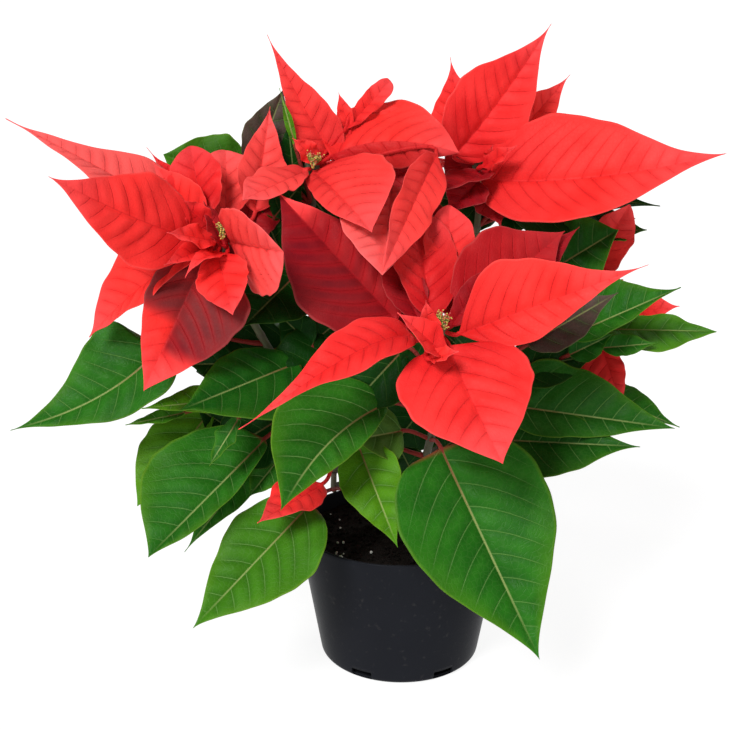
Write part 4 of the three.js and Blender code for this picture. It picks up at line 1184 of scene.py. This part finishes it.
stem = stem_paint()
for name, stems in STEMS.items():
    shell = Shell(PLANT_X)
    for points, thick, thin, head in stems:
        line = stem_line(points, head, STEM_STEP)
        far = np.linspace(0, 1, len(line))
        count = math.ceil(len(line) * STEM_STEP / NODE_GAP)
        knot = np.exp(-((((far * count + 0.5) % 1) - 0.5) / 0.09) ** 2)
        radius = (thick + (thin - thick) * far) * (1 + 0.16 * knot)
        tube(shell, line, radius[:, None], scar=knot[:, None])
    piece(shell, "stems_" + name, stem, ["leafy_stem_" + name])

# %% [markdown]
# The knobs at the ends of the branches are short tubes as well. Their radius follows a half
# circle, with five low ridges, because the last bracts and cups spring from there in fives.

# %% Branch tips
shell = Shell(PLANT_X)
for head in HEADS.values():
    at = np.array(head["at"], float)
    turn = np.linspace(0.2, math.pi - 0.2, 12)
    line = at + np.stack([0 * turn, 0 * turn, -TIP_RADIUS * np.cos(turn)], -1)
    ridges = 1 + 0.06 * np.cos(5 * -2 * np.pi * np.arange(20) / 20)[None, :]
    tube(shell, line, TIP_RADIUS * np.sin(turn)[:, None] * ridges, sides=20, scar=0.2)
piece(shell, "branch_tips", stem, ["bracts_" + name for name in HEADS])

# %% [markdown]
# The real flowers are the small cups in the middle of a head. Two shapes are enough for them: a
# profile turned round a line that may point anywhere, and a ball, which is such a profile too.

# %% Turned shapes
LIP_FROM = 4.9  # a profile's lobes begin above this height


def frame_along(way):
    """The direction at length 1, and two directions square to it."""
    way = unit(np.array(way, float))
    other = np.array([1.0, 0, 0]) if abs(way[0]) < 0.8 else np.array([0, 1.0, 0])
    across = square(other, way)
    return way, across, np.cross(way, across)


def turned(shell, seat, way, profile, sides, lobes=0.0, **numbers):
    """A profile (radius, height) carried round the line through seat along way: seat + height
    times way + radius times (cos, sin) of the turn. Five lobes may widen the upper part."""
    way, across, ahead = frame_along(way)
    turn = -2 * np.pi * np.arange(sides) / sides
    radius, height = profile[:, 0, None], profile[:, 1, None]
    radius = radius * (1 + lobes * np.cos(5 * turn)[None, :] * (height > LIP_FROM))
    ring = across * np.cos(turn)[:, None] + ahead * np.sin(turn)[:, None]
    rings = seat + way * height[..., None] + radius[..., None] * ring[None]
    low, high = seat + way * profile[0, 1], seat + way * profile[-1, 1]
    shell.add(rings, low, high, **numbers)


def ball(shell, middle, way, long, wide, **numbers):
    """An ellipsoid: wide times the sine, long times the cosine of the turn from its pole."""
    turn = np.linspace(0.35, math.pi - 0.35, 5)
    profile = np.stack([wide * np.sin(turn), -long * np.cos(turn)], -1)
    turned(shell, middle, way, profile, 8, **numbers)


trial = Shell()
ball(trial, np.zeros(3), (0, 0, 1), 1, 1)
print("a ball has", trial.count, "points")

# %% [markdown]
# Each cup is green and barrel-shaped with a fringed yellow lip. It sits on a small cushion on the
# knob, one cup in the middle and the others round it, leaning outwards. A few stamens stand out
# of it, and a yellow gland hangs on its side. A number `part` on the mesh tells the material what
# a point belongs to: 0 is the barrel, 1 its lip, 2 what is yellow and 3 what is red.

# %% Cups
CUP_LENGTH = 6
CUSHION = 1.6  # its middle lies this far over the knob
STAMENS = 6
BARREL = np.array([
    (0.35, -0.9), (0.9, 0.1), (1.55, 1.2), (1.95, 2.5), (2.0, 3.4), (1.7, 4.6), (1.35, 5.3),
    (1.5, 5.9), (1.3, 6.15), (0.95, 5.7), (0.6, 5.2),
])


def cup_paint():
    paint = Paint("cup")
    place = paint.place()
    part = paint.number("part")
    speck = paint.noise(place, 900.0, 2.0)
    shade = paint.mix(speck, colour(0.12, 0.18, 0.03), colour(0.22, 0.27, 0.05))
    shade = paint.mix(part.smooth(0.55, 1.0), shade, colour(0.4, 0.32, 0.07))
    shade = paint.mix(part.smooth(1.5, 2.0), shade, colour(0.6, 0.5, 0.1))
    shade = paint.mix(part.smooth(2.5, 3.0), shade, colour(0.55, 0.06, 0.05))
    normal = paint.bump(speck, 0.0004, 0.6)
    return paint.finish(Base_Color=shade, Roughness=0.4, Normal=normal)


cup = cup_paint()
lip = np.clip((BARREL[:, 1] - 4.2) / 1.6, 0, 1)[:, None]
for seed, (name, head) in enumerate(HEADS.items()):
    if not head["cups"]:
        continue
    shell = Shell(PLANT_X)
    lean, across, ahead = frame_along(head["facing"])
    seat = np.array(head["at"]) + lean * (TIP_RADIUS + SEAM + CUSHION)
    ball(shell, seat, lean, 2.0, 2.2, part=0.2)
    random = chances(40 + seed, 400).reshape(-1, 4)
    for i in range(head["cups"]):
        turn = 0.4 + 2 * math.pi * i / (head["cups"] - 1)
        aside = 0.6 if i else 0
        way = unit(lean + aside * (across * math.cos(turn) + ahead * math.sin(turn)))
        turned(shell, seat, way, BARREL, 20, 0.12, part=lip)
        _, one, two = frame_along(way)
        for k in range(STAMENS):
            a, b, c, d = random[i * 10 + k]
            out = one * math.cos(k + a) + two * math.sin(k + a)
            foot = seat + way * (CUP_LENGTH - 1) + out * 0.5
            top = foot + unit(way + out * (0.25 + 0.4 * b)) * (1.6 + 1.6 * c)
            tube(shell, np.linspace(foot, top, 3), 0.16, 5, part=3.0)
            ball(shell, top, out, 0.42, 0.34, part=2.0 if d < 0.6 else 3.0)
        gland = seat + way * 3.9 + (one * math.cos(turn) + two * math.sin(turn)) * 1.9
        ball(shell, gland, two, 1.3, 0.9, part=2.0)
    piece(shell, "cups_" + name, cup, ["cyathia_" + name])

# %% [markdown]
# The soil is black peat. It fills the pot to 8 mm below the rim and swells a little towards the
# middle. Its top is rough at every scale, which a sum of sines in random directions gives.

# %% Soil
POT_HEIGHT, POT_TOP_RADIUS, POT_BASE_RADIUS, POT_WALL, POT_EDGE = 80, 60, 46, 1.4, 4
SOIL_HEIGHT = 71.5
SOIL_FOOT = 38
CROWN = 1.5  # how much higher the middle is
HILLS = 0.8


def flare(z):
    """The pot's outer radius at a height."""
    return POT_BASE_RADIUS + (POT_TOP_RADIUS - POT_BASE_RADIUS) * z / POT_HEIGHT


def rough(x, y, seed, sizes=(9.0, 5.0, 2.6, 1.4)):
    """Hills of several sizes: sines of x and y in random directions, smaller ones lower."""
    random = np.random.default_rng(seed)
    total = 0
    for size in sizes:
        for _ in range(5):
            turn, start = random.random(2) * 2 * np.pi
            along = x * np.cos(turn) + y * np.sin(turn)
            total = total + size * np.sin(along * 2.4 / size + start)
    return total / 20


def soil_paint():
    paint = Paint("peat")
    place = paint.place()
    coarse, fine = paint.noise(place, 300.0, 5.0), paint.noise(place, 1500.0, 3.0)
    shade = paint.mix(coarse, colour(0.003, 0.003, 0.003), colour(0.016, 0.012, 0.01))
    shade = paint.mix(fine.smooth(0.62, 0.78), shade, colour(0.05, 0.035, 0.025))
    normal = paint.bump(coarse + fine * 0.4, 0.0015, 1.0)
    return paint.finish(Base_Color=shade, Roughness=0.95, Normal=normal, Specular_IOR_Level=0.05)


soil_edge = flare(72) - POT_WALL - 0.35
turn = -2 * np.pi * np.arange(160) / 160
spread = np.concatenate([[30, flare(40) - 2, flare(66) - 2], soil_edge * np.linspace(1, 0.01, 70)])
level = np.concatenate([[SOIL_FOOT, 40, 66], np.full(70, SOIL_HEIGHT)])
x = spread[:, None] * np.cos(turn)
y = spread[:, None] * np.sin(turn)
hills = HILLS * rough(x, y, 5) * np.clip(level - 70, 0, 1)[:, None]
crown = CROWN * np.clip(1 - spread / soil_edge, 0, 1)[:, None]
rings = np.stack([x, y, level[:, None] + crown + hills], -1)
soil = Shell()
middle = SOIL_HEIGHT + CROWN
soil.add(rings, np.array([0, 0, float(SOIL_FOOT)]), np.array([0, 0, middle]))
print("soil:", soil.count, "points, up to", round(float(rings[..., 2].max()), 1), "mm")

# %% [markdown]
# Peat breaks up into loose crumbs, and growers mix white grains of perlite into it to let the air
# in. Both are balls with a handful of faces, strewn evenly over the disc: the square root of a
# random number makes up for there being more room further out.

# %% Crumbs and perlite
CRUMBS, GRAINS = 420, 30


def on_soil(far, around, inset):
    """A place on the soil: the edge less inset, times the root of far, at a random turn."""
    reach = (soil_edge - inset) * math.sqrt(far)
    return reach * math.cos(around * 6.283), reach * math.sin(around * 6.283)


def soil_height(x, y):
    """Half a millimetre over the soil: its level, the crown and the hills."""
    hills = HILLS * float(rough(x, y, 5))
    return SOIL_HEIGHT + 0.5 + CROWN * (1 - math.hypot(x, y) / soil_edge) + hills


random = np.random.default_rng(11)
for far, around, size, squeeze in random.random((CRUMBS, 4)):
    x, y = on_soil(far, around, 3)
    place = np.array([x, y, soil_height(x, y)])
    ball(soil, place, random.normal(size=3), 0.8 + 1.6 * size**2, 0.6 + 1.1 * squeeze * size)
piece(soil, "peat_soil", soil_paint(), ["potting_soil"])


def perlite_paint():
    paint = Paint("perlite")
    place = paint.place()
    shade = paint.mix(paint.noise(place, 800.0), colour(0.5, 0.48, 0.42), colour(0.85, 0.84, 0.8))
    normal = paint.bump(paint.noise(place, 1200.0), 0.0006, 0.8)
    return paint.finish(Base_Color=shade, Roughness=0.9, Normal=normal)


shell = Shell()
grains = [(-34, -33, 1.3), (-17, -29, 1.0), (-19, -52, 1.2), (-33, -12, 1.0), (-5, -54, 0.9)]
random = np.random.default_rng(12)
for far, around, size in random.random((GRAINS, 3)):
    grains.append((*on_soil(far, around, 4), 0.4 + 0.5 * size))
for x, y, size in grains:
    place = np.array([x, y, soil_height(x, y) + 0.3 + size * 0.3])
    ball(shell, place, random.normal(size=3), size, size * 0.8)
piece(shell, "perlite_grains", perlite_paint(), ["potting_soil"])

# %% [markdown]
# The pot is thin moulded black plastic. Its profile, with a rolled lip and a rounded lower edge,
# is carried round as one surface, up the outside and down the inside. Dust and handling leave
# such plastic neither even in colour nor in gloss.

# %% Pot
LIP_RADIUS = 0.8
FLAT_RADIUS = 40  # the flat part of its floor


def arc(middle, radius, start, stop, count):
    """Points (radius, height) on a part of a circle, between two angles in degrees."""
    turn = np.radians(np.linspace(start, stop, count))
    return np.stack([middle[0] + radius * np.cos(turn), middle[1] + radius * np.sin(turn)], -1)


slant = math.degrees(math.atan2(POT_TOP_RADIUS - POT_BASE_RADIUS, POT_HEIGHT))
lip_middle = (POT_TOP_RADIUS - LIP_RADIUS, POT_HEIGHT - LIP_RADIUS)
edge_middle = (POT_BASE_RADIUS - POT_EDGE + 0.6, POT_EDGE)
profile = np.concatenate([
    np.linspace((1.0, 0), (FLAT_RADIUS, 0), 8),
    arc(edge_middle, POT_EDGE, -90, -slant, 8),
    np.linspace((flare(8), 8), (flare(77), 77), 24),
    arc(lip_middle, LIP_RADIUS, 0, 180, 7),
    np.linspace((flare(77) - POT_WALL, 77), (flare(8) - POT_WALL, 8), 16),
    arc(edge_middle, POT_EDGE - POT_WALL, -slant, -90, 6),
    np.linspace((FLAT_RADIUS, POT_WALL), (1.0, POT_WALL), 8),
])
shell = Shell()
turned(shell, np.zeros(3), (0, 0, 1), profile, 160)


def pot_paint():
    paint = Paint("black_plastic")
    place = paint.place()
    grain = paint.noise(place, 1600.0, 2.0)
    cloud = paint.noise(place, 18.0, 4.0)
    shade = paint.mix(cloud, colour(0.009, 0.0095, 0.012), colour(0.013, 0.014, 0.018))
    dust = paint.noise(place, 250.0, 5.0).smooth(0.6, 0.8)
    shade = paint.mix(dust * 0.25, shade, colour(0.08, 0.075, 0.07))
    normal = paint.bump(grain * 0.4 + cloud, 0.0004, 0.35)
    gloss = 0.3 + 0.08 * cloud + 0.15 * dust
    return paint.finish(Base_Color=shade, Roughness=gloss, Normal=normal, Specular_IOR_Level=0.025)


pot = piece(shell, "nursery_pot", pot_paint(), ["pot"])

# %% [markdown]
# Water drains through six slots where the wall meets the floor. On the real pot pins in the mould
# leave them open; here a box cuts each one, and the cut is made final so that no box stays.

# %% Drainage slots
SLOTS, FIRST_SLOT = 6, 31 - 90  # degrees from +X
SLOT_REACH, SLOT_SIDE, SLOT_RISE = (43.5, 53), (-6.25, 6.25), (0.6, 6)


def cutter(turn):
    """A box through the wall and the floor, turned round the pot's middle, in metres."""
    mesh = bpy.data.meshes.new("cutter")
    ends = np.array([(x, y, z) for x in SLOT_REACH for y in SLOT_SIDE for z in SLOT_RISE], float)
    c, s = math.cos(turn), math.sin(turn)
    spin = np.array([[c, s, 0], [-s, c, 0], [0, 0, 1]])
    faces = [(0, 1, 3, 2), (4, 6, 7, 5), (0, 4, 5, 1), (2, 3, 7, 6), (0, 2, 6, 4), (1, 5, 7, 3)]
    mesh.from_pydata((ends @ spin * 0.001).tolist(), [], faces)
    made = bpy.data.objects.new("cutter", mesh)
    bpy.context.scene.collection.objects.link(made)
    return made


for i in range(SLOTS):
    box = cutter(math.radians(FIRST_SLOT + 360 / SLOTS * i))
    cut = pot.modifiers.new("slot", "BOOLEAN")
    cut.operation, cut.object = "DIFFERENCE", box
    bpy.context.view_layer.update()
    graph = bpy.context.evaluated_depsgraph_get()
    shape = bpy.data.meshes.new_from_object(pot.evaluated_get(graph))
    pot.modifiers.clear()
    pot.data = shape
    bpy.data.objects.remove(box)
pot.data.name = "nursery_pot"
print("pot with slots:", len(pot.data.polygons), "faces")

# %% [markdown]
# The finer pieces must fill the same space as the solids they stand for.
